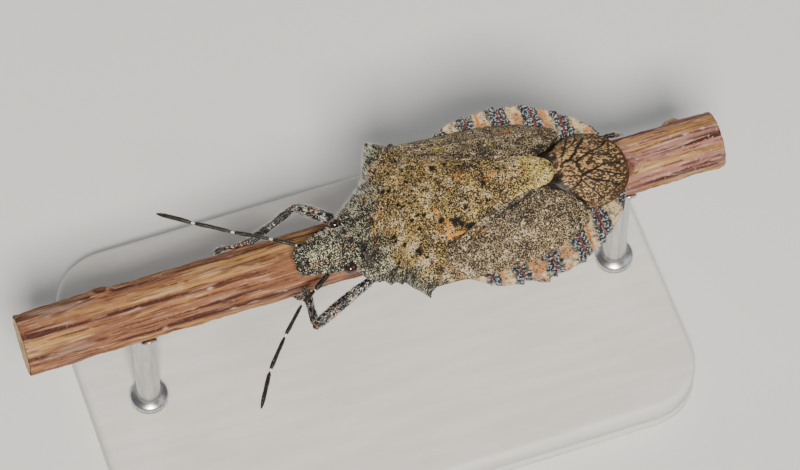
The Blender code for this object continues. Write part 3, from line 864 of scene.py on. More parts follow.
def link(name: str, data: bpy.types.ID) -> bpy.types.Object:
    """A new object at the origin of the row frame."""
    piece = bpy.data.objects.new(name, data)
    bpy.context.scene.collection.objects.link(piece)
    return piece


def bare_joints(parts: list[Array], shares: list[Array]) -> tuple[Array, Array]:
    """Join the grids of a limb's segments, with no hair where one meets the next.

    Args:
        parts: Points of each segment.
        shares: How hairy each is at its points.

    Returns:
        The joined points and shares.
    """
    share = np.concatenate(shares)
    before, after = 9, 8
    for joint in np.cumsum([len(part) for part in parts])[:-1]:
        share[joint - before:joint + after] = 0.0
    return np.concatenate(parts), share


@dataclass(frozen=True)
class Coat:
    """Short bristles over a surface, grown by one Geometry Nodes tree."""

    per_mm2: float
    length: float
    thickness: float
    lean: float
    seed: int

    STRAY = 0.3
    BEND = {"Start": (0.0, 0.0, -0.12), "Middle": (0.0, 0.0, 0.55), "End": (0.34, 0.0, 0.92)}
    TAPER = {"To Min": 1.0, "To Max": 0.12}
    SIZES = (0.6, 1.25)

    @classmethod
    def tree(cls) -> bpy.types.NodeTree:
        """The tree that sets bent, tapered bristles on a surface's points."""
        found = bpy.data.node_groups.get("bristle_coat")
        if found:
            return found
        tree = bpy.data.node_groups.new("bristle_coat", "GeometryNodeTree")
        for name, kind in (("Geometry", "Geometry"), ("Density", "Float"), ("Length", "Float"),
                           ("Thickness", "Float"), ("Lean", "Float"), ("Seed", "Int"),
                           ("Finish", "Material")):
            tree.interface.new_socket(name, in_out="INPUT", socket_type=f"NodeSocket{kind}")
        tree.interface.new_socket("Geometry", in_out="OUTPUT", socket_type="NodeSocketGeometry")
        t = Tree(tree)

        def scaled(vector: object, by: object) -> Socket:
            """A vector times a number."""
            return t.node("ShaderNodeVectorMath", {0: vector, "Scale": by}, operation="SCALE").outputs[0]

        def added(a: object, b: object) -> Socket:
            """Sum of two vectors."""
            return t.node("ShaderNodeVectorMath", {0: a, 1: b}, operation="ADD").outputs[0]

        def named(name: str, kind: str) -> Socket:
            """An attribute of the surface."""
            made = t.node("GeometryNodeInputNamedAttribute", {"Name": name}, data_type=kind)
            return made.outputs["Attribute"]

        given = t.node("NodeGroupInput").outputs
        seed, length, lie = given["Seed"], given["Length"], named("lie", "FLOAT_VECTOR")
        density = t.node("ShaderNodeMath", {0: named("coat", "FLOAT"), 1: given["Density"]},
                         operation="MULTIPLY")
        points = t.node("GeometryNodeDistributePointsOnFaces",
                        {"Mesh": given["Geometry"], "Density": density.outputs[0], "Seed": seed},
                        distribute_method="RANDOM").outputs
        stray = t.node("FunctionNodeRandomValue",
                       {"Min": (-cls.STRAY,) * 3, "Max": (cls.STRAY,) * 3, "Seed": seed},
                       data_type="FLOAT_VECTOR").outputs["Value"]
        aim = added(added(points["Normal"], scaled(lie, given["Lean"])), stray)
        align = "FunctionNodeAlignRotationToVector"
        upright = t.node(align, {"Vector": aim}, axis="Z").outputs["Rotation"]
        facing = t.node(align, {"Rotation": upright, "Vector": lie}, axis="X", pivot_axis="Z")
        bend = {key: scaled(value, length) for key, value in cls.BEND.items()}
        bow = t.node("GeometryNodeCurveQuadraticBezier", {"Resolution": 3, **bend})
        along = t.node("GeometryNodeSplineParameter").outputs["Factor"]
        taper = t.node("ShaderNodeMapRange", {"Value": along, **cls.TAPER})
        tip = t.node("GeometryNodeStoreNamedAttribute",
                     {"Name": Mask.TIP.value, "Geometry": bow.outputs["Curve"], "Value": along},
                     data_type="FLOAT", domain="POINT").outputs["Geometry"]
        ring = t.node("GeometryNodeCurvePrimitiveCircle", {"Resolution": 3, "Radius": given["Thickness"]})
        hair = t.node("GeometryNodeCurveToMesh", {"Curve": tip, "Profile Curve": ring.outputs["Curve"],
                                                  "Scale": taper.outputs["Result"], "Fill Caps": True})
        size = t.node("FunctionNodeRandomValue", {2: cls.SIZES[0], 3: cls.SIZES[1], "Seed": seed},
                      data_type="FLOAT")
        placed = t.node("GeometryNodeInstanceOnPoints", {
            "Points": points["Points"], "Instance": hair.outputs["Mesh"],
            "Rotation": facing.outputs["Rotation"], "Scale": size.outputs[1]}).outputs["Instances"]
        real = t.node("GeometryNodeRealizeInstances", {"Geometry": placed}).outputs["Geometry"]
        dressed = t.node("GeometryNodeSetMaterial", {"Geometry": real, "Material": given["Finish"]})
        t.node("NodeGroupOutput", {"Geometry": dressed.outputs["Geometry"]})
        return tree

    def grow(self, name: str, slot: str, place: Place, grid: Array, share: Array, lie: Array,
             finish: bpy.types.Material, wrap: bool = True) -> None:
        """Grow the coat on a grid of points, as one mesh with each bristle's root mapped in OFBake.

        Args:
            name: The piece's name.
            slot: The record's material slot.
            place: The frame that the points are in.
            grid: The skin's points as row, column, coordinate.
            share: How dense the coat is at each, from 0 to 1.
            lie: The direction that the bristles lean in at each.
            finish: Their material.
            wrap: Whether the grid's last column joins its first.
        """
        rows, columns = grid.shape[:2]
        quads = grid_quads(rows, columns, wrap)
        flat_points = grid.reshape(-1, 3)
        if Form.inside_out(flat_points, [quads]):
            quads = quads[:, ::-1]
        mesh = bpy.data.meshes.new(name)
        mesh.from_pydata(place.to_row(flat_points).tolist(), [], quads.tolist())
        across, down = np.meshgrid(np.linspace(0, 1, columns), np.linspace(0, 1, rows))
        unwrap = np.stack((across, down, np.zeros_like(across)), -1)
        values = {"lie": place.turned(np.broadcast_to(lie, grid.shape)), "root_uv": unwrap}
        for key, value in values.items():
            layer = mesh.attributes.new(key, "FLOAT_VECTOR", "POINT")
            layer.data.foreach_set("vector", value.astype(np.float32).ravel())
        layer = mesh.attributes.new("coat", "FLOAT", "POINT")
        layer.data.foreach_set("value", np.broadcast_to(share, (rows, columns)).astype(np.float32).ravel())
        piece = link(name, mesh)
        modifier = piece.modifiers.new("Coat", "NODES")
        modifier.node_group = self.tree()
        sizes = {"Density": self.per_mm2 / MM ** 2, "Length": self.length * MM,
                 "Thickness": self.thickness * MM, "Lean": self.lean, "Seed": self.seed, "Finish": finish}
        for item in modifier.node_group.interface.items_tree:
            if item.name in sizes:
                modifier[item.identifier] = sizes[item.name]
        seen = piece.evaluated_get(bpy.context.evaluated_depsgraph_get())
        grown = bpy.data.meshes.new_from_object(seen)
        piece.modifiers.remove(modifier)
        piece.data = grown
        self.map_roots(grown)
        hang(piece, slot)

    @staticmethod
    def map_roots(mesh: bpy.types.Mesh, patch: float = 0.003) -> None:
        """Give each bristle a small patch of OFBake at its root's place."""
        roots = np.zeros(len(mesh.vertices) * 3, np.float32)
        mesh.attributes["root_uv"].data.foreach_get("vector", roots)
        corners = np.zeros(len(mesh.loops), np.int32)
        mesh.loops.foreach_get("vertex_index", corners)
        spread = np.stack((corners % 3, corners // 3 % 4), -1) / (2.0, 3.0) * patch
        mapped = 0.001 + roots.reshape(-1, 3)[corners, :2] * (0.998 - patch) + spread
        layer = mesh.uv_layers.new(name="OFBake")
        layer.data.foreach_set("uv", mapped.astype(np.float32).ravel())


@dataclass(frozen=True)
class Back:
    """Height of the bug's back: crown along the midline, edge at the flank, rounded between."""

    crest: Stations = ((3.0, 3.42), (3.6, 3.62), (4.5, 4.15), (5.6, 4.82), (6.9, 5.22), (8.6, 5.42),
                       (10.6, 5.42), (13.0, 5.1), (14.6, 4.75), (16.0, 4.25), (17.0, 3.85))
    width: Stations = ((3.0, 2.1), (4.4, 3.0), (5.1, 4.6), (6.5, 4.1), (9.0, 3.72), (12.0, 3.52),
                       (14.1, 2.75), (17.0, 2.3))
    edge: Stations = ((3.0, 2.85), (4.4, 3.35), (5.1, 4.2), (6.5, 4.22), (9.0, 4.15), (12.0, 4.0),
                      (14.1, 3.85), (17.0, 3.45))
    rounding: float = 1.8
    plate: float = 0.5
    ink: Spots = ((7.02, -1.2, 0.15), (7.74, -1.57, 0.27), (7.2, -2.5, 0.16), (7.5, 1.62, 0.18))
    ink_lines: tuple[Stations, ...] = (((8.02, -1.9), (8.5, -1.88)), ((7.0, -2.44), (7.45, -2.38)),
                                       ((7.4, -1.45), (7.7, -1.5)))
    orange: Spots = ((6.86, -0.75, 0.13), (7.9, -1.75, 0.1))
    orange_lines: tuple[Stations, ...] = (
        ((6.9, -0.95), (7.24, -1.55), (7.06, -2.16), (7.85, -2.2), (8.55, -1.97)),
        ((9.85, 0.14), (10.2, 0.12)))
    ink_width: float = 0.13
    orange_width: float = 0.115

    def marks(self, points: Array) -> tuple[Array, Array]:
        """Masks of the black marks and of the orange lines at the base of the scutellum."""
        level = flat(points)
        level[..., :2] += np.stack([0.04 * Grain.lumps(flat(points), 0.14, seed) for seed in (58, 59)], -1)
        black, glow = spots(points, self.ink, 0.3, 0.5), spots(points, self.orange, 0.4, 0.5)
        for line in self.ink_lines:
            black = np.maximum(black, stroke(level, line, self.ink_width))
        for line in self.orange_lines:
            glow = np.maximum(glow, stroke(level, line, self.orange_width))
        return black, glow * (1.0 - black)

    def height(self, x: Array, y: Array) -> Array:
        """Height of the back's surface over plan places."""
        crown, edge = follow(self.crest, x), follow(self.edge, x)
        return crown - (crown - edge) * (np.abs(y) / follow(self.width, x)) ** self.rounding

    def grid(self, x: Array, y: Array) -> Array:
        """Points of the back's surface over plan places."""
        return np.stack((x, y, self.height(x, y)), -1)


def pimple(plan: Array, size: float, seed: int) -> tuple[Array, Array]:
    """Relief of punctured cuticle from 0 to 1, and its punctures as a mask."""
    away, number = Grain.cells(flat(plan), size, seed, True)
    hole = step(0.36, 0.16, away) * step(0.2, 0.5, number)
    return 1.0 - hole, hole


def broken(plan: Array) -> Array:
    """Small patches from 0 to 1 that break up the rusty spots."""
    return Grain.patches(plan, 0.22, 57, -0.1, 0.35)


@dataclass(frozen=True)
class Pronotum:
    """Sloping shield behind the head, toothed in front and squared at the shoulders."""

    back: Back = Back()
    front: float = 3.38
    rear: float = 7.28
    corner: tuple[float, float] = (2.6, 1.56)
    waist: tuple[float, float] = (4.45, 2.92)
    teeth: int = 4
    tooth: float = 0.14
    shoulder: Stations = ((4.55, 3.12), (4.7, 3.55), (4.92, 4.02), (5.2, 4.6), (5.34, 4.3), (5.8, 4.14),
                          (6.4, 3.42), (6.92, 2.56))
    skew: float = 0.06
    spacing: float = 0.045
    columns: int = 205
    pits: Spots = (
        (4.92, 2.81, 0.11), (4.74, 3.04, 0.09), (5.44, 2.26, 0.09), (6.11, 2.14, 0.08), (6.12, 1.42, 0.1),
        (4.77, 2.22, 0.09), (4.94, 1.54, 0.13), (5.2, 1.42, 0.1), (4.42, 1.34, 0.1), (5.39, 0.49, 0.08),
        (5.57, 0.25, 0.09), (6.07, -0.5, 0.09), (6.33, -0.62, 0.11), (5.71, -0.65, 0.09),
        (5.93, -1.22, 0.1), (4.73, -0.85, 0.12), (4.75, -1.09, 0.1), (5.07, -1.51, 0.1),
        (5.52, -2.24, 0.12), (5.56, -2.43, 0.1), (5.82, -2.7, 0.1), (4.61, -2.09, 0.08), (6.0, 2.85, 0.09))
    rust: Spots = ((4.27, 0.53, 0.35), (4.17, -0.63, 0.3), (4.75, 2.75, 0.3), (4.1, 1.75, 0.25),
                   (6.9, -1.6, 0.22), (4.55, 3.3, 0.2), (5.3, -3.6, 0.25))
    cream: Spots = ((5.56, -1.7, 0.25), (5.49, -2.78, 0.38), (5.75, 1.75, 0.22), (5.1, -2.0, 0.25),
                    (6.6, -0.4, 0.18), (4.55, -2.6, 0.22), (6.3, -3.1, 0.2))
    callus: Spots = ((4.12, 0.95, 0.42), (4.12, -0.95, 0.42))
    tufts: Spots = ((3.95, 2.19, 0.35), (3.95, -2.19, 0.3), (4.87, 3.99, 0.35), (4.87, -3.99, 0.35))
    ridge: Stations = ((5.2, -4.3), (5.45, -2.6), (5.9, 0.0), (5.45, 2.6), (5.1, 4.3))
    hollow: Stations = ((4.6, -3.1), (4.75, -1.6), (4.85, 0.0), (4.75, 1.6), (4.6, 3.1))
    lip: float = 0.13
    coat: Coat = Coat(105.0, length=0.18, thickness=0.0115, lean=0.9, seed=7)

    def margin(self) -> Array:
        """Outer edge from front corner to rear corner, in small steps."""
        edge = [self.corner]
        run, rise = self.waist[0] - self.corner[0], self.waist[1] - self.corner[1]
        for i in range(self.teeth):
            for part, out in ((0.35, 0.0), (0.8, self.tooth)):
                t = (i + part) / self.teeth
                edge.append((self.corner[0] + t * run, self.corner[1] + t * rise + out))
        return sample_path(np.array([*edge, self.waist, *self.shoulder]), self.spacing)

    def grid(self) -> Array:
        """Points of the shield before its relief."""
        edge = self.margin()
        x, half = edge[:, 0, None], edge[:, 1, None]
        t = (x - x[0]) / (x[-1] - x[0])
        centre = self.front + t * (self.rear - self.front)
        v = np.linspace(-1.0, 1.0, self.columns)[None, :]
        wobble = 0.045 * Grain.lumps(np.stack((x * 4.2 + 0 * v, np.sign(v) + 0 * x, 0 * x * v), -1), 1.0, 5)
        y = v * half + np.sign(v) * np.abs(v) ** 12 * wobble
        across = centre + (x - centre) * np.abs(v) ** 2.5
        turned = across - self.skew * (1.0 - t ** 3) * y
        return np.stack((turned, y, self.back.height(across, y)), -1)

    def dress(self, finish: Finishes) -> None:
        """Build the shield and its bristles."""
        top = self.grid()
        edge_share = np.abs(np.linspace(-1.0, 1.0, self.columns))[None, :] + 0.0 * top[..., 0]
        relief, hole = pimple(top, 0.21, 11)
        named = spots(top, self.pits, 0.35, 0.15)
        ink, orange = self.back.marks(top)
        named = np.maximum(named, 0.9 * ink)
        swell = spots(top, self.callus, 0.6, 0.1)
        ridge = stroke(top, self.ridge, 0.55)
        hollow = stroke(top, self.hollow, 0.4)
        level = flat(top)
        lift = 0.06 * Grain.rough(level, 0.85, 21) + 0.03 * Grain.rough(level, 0.26, 31, 2)
        lift += 0.04 * relief - 0.04 + 0.07 * swell + 0.06 * ridge - 0.06 * hollow - 0.10 * named
        lift *= step(1.0, 0.93, edge_share) * 0.7 + 0.3
        top[..., 2] += lift
        reach = top[..., 0] - 0.42 * np.abs(top[..., 1]) + 0.35 * Grain.rough(level, 0.5, 40)
        front_zone = step(4.3, 3.5, reach)
        side = step(1.5, 2.4, np.abs(top[..., 1]))
        tips = step(3.7, 4.3, np.abs(top[..., 1]))
        collar = step(0.42, 0.0, top[..., 0] - top[:1, :, 0])
        ragged = Grain.patches(level, 0.5, 41, -0.35, 0.35)
        dark = front_zone * (0.25 + 0.6 * ragged) + 0.75 * tips * ragged + 0.25 * side * ragged
        dark = dark + 0.3 * hole + 0.25 * collar
        cool = 0.9 * front_zone + 0.8 * tips * step(5.6, 5.0, top[..., 0])
        pale = 0.75 * spots(top, self.cream, 0.8, 0.6) + 0.2 * front_zone + 0.3 * tips
        pale = pale + 0.25 * collar + 0.25 * Grain.patches(level, 0.6, 51, 0.15, 0.7)
        warm = np.maximum(0.7 * broken(level) * spots(top, self.rust, 0.9, 0.7), orange)
        top = roll_edges(top, self.lip, self.lip)
        form = Form()
        form.add_plate(top, self.back.plate, {Mask.PIT: named, Mask.DARK: dark, Mask.PALE: pale,
                                              Mask.WARM: warm, Mask.COOL: cool})
        hang(form.build("pronotum_shield", BUG_PLACE, finish.back), "back_cuticle", "pronotum")
        fringe = step(0.88, 0.97, edge_share) * step(5.6, 5.0, top[..., 0])
        tufts = 0.6 * spots(top, self.tufts, 0.6, 0.2)
        share = np.clip(fringe + tufts + 0.16 * front_zone + 0.03, 0, 1)
        outward = np.sign(top[..., 1]) * (0.3 + 0.7 * side)
        lie = np.stack((np.full(share.shape, -0.25), outward, np.full(share.shape, 0.25)), -1)
        self.coat.grow("hair_pronotum", "back_cuticle", BUG_PLACE, top, share, lie, finish.pale_hair, False)


@dataclass(frozen=True)
class Scutellum:
    """Long tongue-shaped shield between the wings, with a lichen-yellow tip."""

    back: Back = Back()
    half: Stations = ((7.0, 2.64), (7.56, 2.42), (8.0, 2.2), (9.0, 1.72), (10.0, 1.4), (11.0, 1.16),
                      (12.2, 0.9), (12.8, 0.62), (13.1, 0.3))
    swell: float = 0.14
    bow: float = 0.3
    spacing: float = 0.045
    columns: int = 112
    pits: Spots = ((8.33, -1.0, 0.1), (9.41, -0.96, 0.1), (9.52, -0.07, 0.11), (8.73, 1.33, 0.1),
                   (8.1, 1.73, 0.11), (10.4, 0.55, 0.08), (11.35, -0.62, 0.08), (11.2, 0.35, 0.07))
    rust: Spots = ((7.5, -1.85, 0.22), (9.6, 0.2, 0.3), (8.3, 0.6, 0.35), (7.45, 2.1, 0.2), (11.5, 0.1, 0.2))
    lumps: Spots = ((7.5, 1.8, 0.4), (7.5, -1.75, 0.4))
    lip: float = 0.12

    def dress(self, finish: Finishes) -> None:
        """Build the shield."""
        x = np.arange(self.half[0][0], self.half[-1][0], self.spacing)[:, None]
        half = follow(self.half, x) * np.sqrt(np.clip((self.half[-1][0] + 0.03 - x) / 0.16, 0.05, 1.0))
        v = np.linspace(-1.0, 1.0, self.columns)[None, :]
        share = np.clip((self.half[-1][0] - x) / (self.half[-1][0] - self.half[1][0]), 0.0, 1.0)
        plan_x = x - self.bow * share * np.abs(v) ** 2.5
        top = self.back.grid(plan_x, v * half)
        level = flat(top)
        relief, hole = pimple(top, 0.19, 12)
        named = spots(top, self.pits, 0.35, 0.15)
        ink, orange = self.back.marks(top)
        bump = spots(top, self.lumps, 0.7, 0.2)
        keel = stroke(top, ((7.6, 0.0), (12.6, 0.0)), 0.5) * step(13.2, 9.0, top[..., 0])
        top[..., 2] += self.swell * (1.0 - v * v) + 0.12 * bump + 0.04 * keel - 0.09 * named - 0.05 * ink
        top[..., 2] += 0.05 * Grain.rough(level, 0.8, 22) + 0.028 * Grain.rough(level, 0.25, 32, 2)
        top[..., 2] += 0.035 * relief - 0.035 + 0.05 * orange - 0.09 * step(7.35, 7.2, top[..., 0])
        lichen = step(11.0, 11.9, top[..., 0] + 0.35 * Grain.rough(level, 0.5, 42))
        ragged = Grain.patches(level, 0.55, 43, -0.25, 0.45)
        middle = step(11.2, 9.6, top[..., 0]) * step(1.4, 0.5, np.abs(top[..., 1] - 0.4))
        dark = 0.42 * middle * ragged + 0.3 * hole + 0.45 * bump * ragged
        pale = 0.4 * lichen + 0.3 * Grain.patches(level, 0.6, 52, 0.1, 0.7) + 0.35 * bump
        side = step(0.18, 0.05, half - np.abs(top[..., 1])) * step(9, 11, top[..., 0])
        pale = pale + 0.3 * side
        warm = np.clip(orange + 0.6 * broken(level) * spots(top, self.rust, 0.9, 0.7), 0, 1) * (1 - ink)
        top = roll_edges(top, self.lip, self.lip)
        form = Form()
        form.add_plate(top, self.back.plate, {
            Mask.PIT: named + ink, Mask.DARK: dark, Mask.PALE: pale, Mask.WARM: warm,
            Mask.LICHEN: 0.62 * lichen * (0.6 + 0.4 * ragged)})
        hang(form.build("scutellum_shield", BUG_PLACE, finish.shield), "back_cuticle", "scutellum")


@dataclass(frozen=True)
class Forewings:
    """Two leathery coria with low veins, and the thin membranes behind them."""

    back: Back = Back()
    shield: Scutellum = Scutellum()
    outer: Stations = ((6.25, 4.02), (7.5, 4.02), (9.0, 4.04), (10.4, 4.0), (11.4, 3.84), (12.4, 3.58),
                       (13.3, 3.22), (14.1, 2.7))
    tail: Stations = ((12.62, 0.96), (13.3, 1.3), (14.05, 2.0))
    front: tuple[float, float] = (7.25, 2.84)
    tuck: float = 0.4
    rows: int = 185
    columns: int = 58
    dark: Spots = ((12.5, 1.1, 0.25), (12.9, 1.35, 0.2))
    rust: Spots = ((8.6, -2.35, 0.3), (6.9, -3.6, 0.3), (11.7, 2.9, 0.3))
    lichen: Spots = ((8.13, 2.87, 0.4), (10.6, 2.2, 0.25))
    plate: float = 0.42
    membrane_plate: float = 0.14
    membrane_rows: int = 84
    membrane_columns: int = 150
    lap: tuple[float, float] = (0.26, 0.34)
    membrane_front: Stations = ((0.0, 13.42), (0.5, 13.36), (0.8, 13.2), (1.25, 13.55), (1.95, 14.28),
                                (2.6, 14.48))
    membrane_centre: float = 14.45
    membrane_length: float = 2.45
    membrane_half: float = 2.12
    sweep: float = math.radians(80)
    veins: tuple[Stations, ...] = (
        ((12.8, -0.11), (13.5, 0.05), (14.06, 0.16), (14.45, 0.6), (14.79, 1.11), (15.15, 1.55)),
        ((14.06, 0.16), (14.26, 0.01), (15.0, 0.4), (15.9, 0.95), (16.3, 1.3)),
        ((14.26, 0.01), (14.34, -0.3), (14.37, -0.72), (15.0, -0.5), (15.77, -0.17), (16.5, -0.1)),
        ((14.37, -0.72), (14.0, -1.1), (13.64, -1.36), (13.4, -1.4)),
        ((14.37, -0.72), (14.9, -1.05), (15.6, -1.1), (16.1, -1.3)),
        ((13.5, 0.05), (13.9, 0.75), (14.2, 1.4), (14.5, 1.85)),
        ((14.2, -0.95), (14.7, -1.55), (15.1, -1.85)),
        ((15.0, 0.4), (15.5, 0.3), (16.3, 0.4)), ((15.0, -0.5), (15.6, -0.62), (16.3, -0.75)),
        ((13.9, 0.75), (14.6, 1.3), (14.9, 1.9)), ((12.9, 0.5), (13.4, 1.1), (13.9, 1.7)))

    def corium_grid(self, side: Side) -> Array:
        """Points of one corium before its relief, from the shield's edge outwards."""
        t = np.linspace(0.0, 1.0, self.rows)[:, None]
        first, last = self.front[0], self.tail[-1][0]
        x = first + t * (last - first)
        beside = np.minimum(follow(self.shield.half, x) - 0.12, self.front[1])
        inner = np.where(x < self.tail[0][0], beside, follow(self.tail, x))
        ease = step(self.tail[0][0] - 0.5, self.tail[0][0] + 0.25, x)
        inner = inner * (1 - ease) + ease * follow(self.tail, x)
        outer_x = self.outer[0][0] + t * (self.outer[-1][0] - self.outer[0][0])
        u = np.linspace(0.0, 1.0, self.columns)[None, :]
        plan_x = x + u * (outer_x - x) - self.tuck * step(0.1, 0.0, t)
        plan_y = inner + u * (follow(self.outer, outer_x) - inner)
        grid = self.back.grid(plan_x, plan_y)
        grid[..., 1] *= side.value
        return grid

    def dress_corium(self, side: Side, finish: Finishes) -> None:
        """Build one corium."""
        top = self.corium_grid(side)
        level = flat(top)
        t = np.linspace(0.0, 1.0, self.rows)[:, None]
        u = np.linspace(0.0, 1.0, self.columns)[None, :]
        relief, hole = pimple(top, 0.17, 13)
        clavus = step(0.035, 0.012, np.abs(u - 0.30 * (1.0 - t / 0.78) * step(0.8, 0.7, t) - 0.02))
        radius = step(0.06, 0.015, np.abs(u - 0.55 - 0.05 * t))
        media = step(0.05, 0.012, np.abs(u - 0.55 - 0.05 * t + 0.22 * step(0.35, 0.95, t)))
        border = step(0.9, 0.99, u + 0 * t)
        top[..., 2] += 0.07 * radius + 0.035 * media * step(0.3, 0.5, t) - 0.05 * clavus + 0.03 * border
        top[..., 2] += 0.04 * Grain.rough(level, 0.9, 23) + 0.022 * Grain.rough(level, 0.22, 33, 2)
        top[..., 2] += 0.028 * relief - 0.028 - 0.09 * step(0.06, 0.02, t) - 0.04 * step(0.06, 0.0, u)
        ragged = Grain.patches(level, 0.7, 44, -0.3, 0.5)
        outward = step(0.35, 0.8, u + 0 * t)
        dark = 0.25 * hole + 0.25 * ragged * (1 - outward) + 0.5 * clavus
        dark = dark + 0.9 * spots(top, self.dark, 0.5, 0.4)
        pale = 0.12 + 0.22 * outward * ragged + 0.4 * border * step(-0.2, 0.3, Grain.lumps(level, 0.35, 54))
        lichen = spots(top, self.lichen, 0.8, 0.7)
        warm = 0.5 * broken(level) * spots(top, self.rust, 0.8, 0.6)
        top = roll_edges(top, 0.1, 0.1)
        top[..., 2] -= 0.16 * step(0.84, 1.0, u + 0 * t)
        form = Form()
        form.add_plate(top, self.plate, {
            Mask.DARK: dark, Mask.PALE: pale, Mask.LICHEN: 0.6 * lichen,
            Mask.WARM: warm, Mask.PIT: 0.7 * clavus * step(0.4, 0.9, ragged)})
        hang(form.build(f"corium_{side.label}_wing", BUG_PLACE, finish.corium), "corium",
             f"corium_{side.label}")

    def dress_membrane(self, side: Side, finish: Finishes) -> None:
        """Build one membrane, with its veins as ridges."""
        low, high = (-1.0, self.lap[1]) if side is Side.LEFT else (self.lap[0], 1.0)
        u = np.linspace(low, high, int(self.membrane_columns * (high - low)))[None, :]
        t = np.linspace(-0.22, 1.0, self.membrane_rows)[:, None]
        rear_x = self.membrane_centre + self.membrane_length * np.cos(u * self.sweep) ** 0.85
        rear_y = self.membrane_half * np.sign(u) * np.abs(np.sin(u * self.sweep)) ** 0.9
        front_y = rear_y * (0.75 + 0.25 * u * u)
        front_x = follow(self.membrane_front, np.abs(front_y))
        top = self.back.grid(front_x + t * (rear_x - front_x), front_y + t * (rear_y - front_y))
        wander = np.stack([0.05 * Grain.lumps(flat(top), 0.3, seed) for seed in (46, 47)], -1)
        vein = np.zeros(top.shape[:2])
        for k, line in enumerate(self.veins):
            vein = np.maximum(vein, stroke(top[..., :2] + wander, line, 0.095 - 0.004 * k))
        vein *= step(-0.02, 0.08, t) * step(1.0, 0.9, t)
        level = flat(top)
        top[..., 2] += 0.03 * vein + 0.022 * Grain.rough(level, 0.5, 24, 2)
        lapped = 0.05 if side is Side.LEFT else -0.03
        top[..., 2] += lapped * step(0.1, 0.2, u) - 0.26 * step(0.12, -0.1, t)
        down = np.maximum(step(0.55, 1.0, t + 0 * u), step(0.7, 1.0, np.abs(u + 0 * t)))
        top[..., 2] -= 0.95 * down * np.clip(top[..., 2] - 3.8, 0.0, 1.0)
        rim = step(0.93, 0.975, t + 0 * u)
        dark = step(0.05, -0.02, t + 0.04 * Grain.lumps(level, 0.2, 45)) * step(0.0, 0.2, np.abs(u + 0 * t))
        if side is Side.LEFT:
            dark = dark + 0.45 * step(0.03, 0.0, np.abs(u - high))
        top = roll_edges(top, 0.06, 0.05)
        form = Form()
        outer = step(0.6, 0.95, t + 0 * u) + step(0.6, 1.2, np.abs(top[..., 1] - 0.3)) * 0.5
        form.add_plate(top, self.membrane_plate, {Mask.VEIN: vein, Mask.RIM: rim, Mask.DARK: dark,
                                                  Mask.COOL: outer})
        piece = form.build(f"membrane_{side.label}_wing", BUG_PLACE, finish.membrane)
        across = u * self.sweep * self.membrane_half + 0 * t
        down = t * self.membrane_length + 0 * u
        flat_uv = np.stack((across.ravel(), down.ravel()), -1)
        corners = np.zeros(len(piece.data.loops), np.int32)
        piece.data.loops.foreach_get("vertex_index", corners)
        layer = piece.data.uv_layers.new(name="wing")
        layer.data.foreach_set("uv", flat_uv[corners % len(flat_uv)].astype(np.float32).ravel())
        hang(piece, "membrane", f"membrane_{side.label}")

    def dress(self, finish: Finishes) -> None:
        """Build both wings."""
        for side in Side:
            self.dress_corium(side, finish)
            self.dress_membrane(side, finish)

    def cover(self, x: Array) -> Array:
        """Half-width of what the closed wings hide of the body."""
        reach = np.clip((x - self.membrane_centre) / self.membrane_length, 0.0, 1.0)
        behind = self.membrane_half * np.sqrt(1.0 - reach ** 2)
        return np.where(x < self.outer[-1][0], follow(self.outer, x), behind)


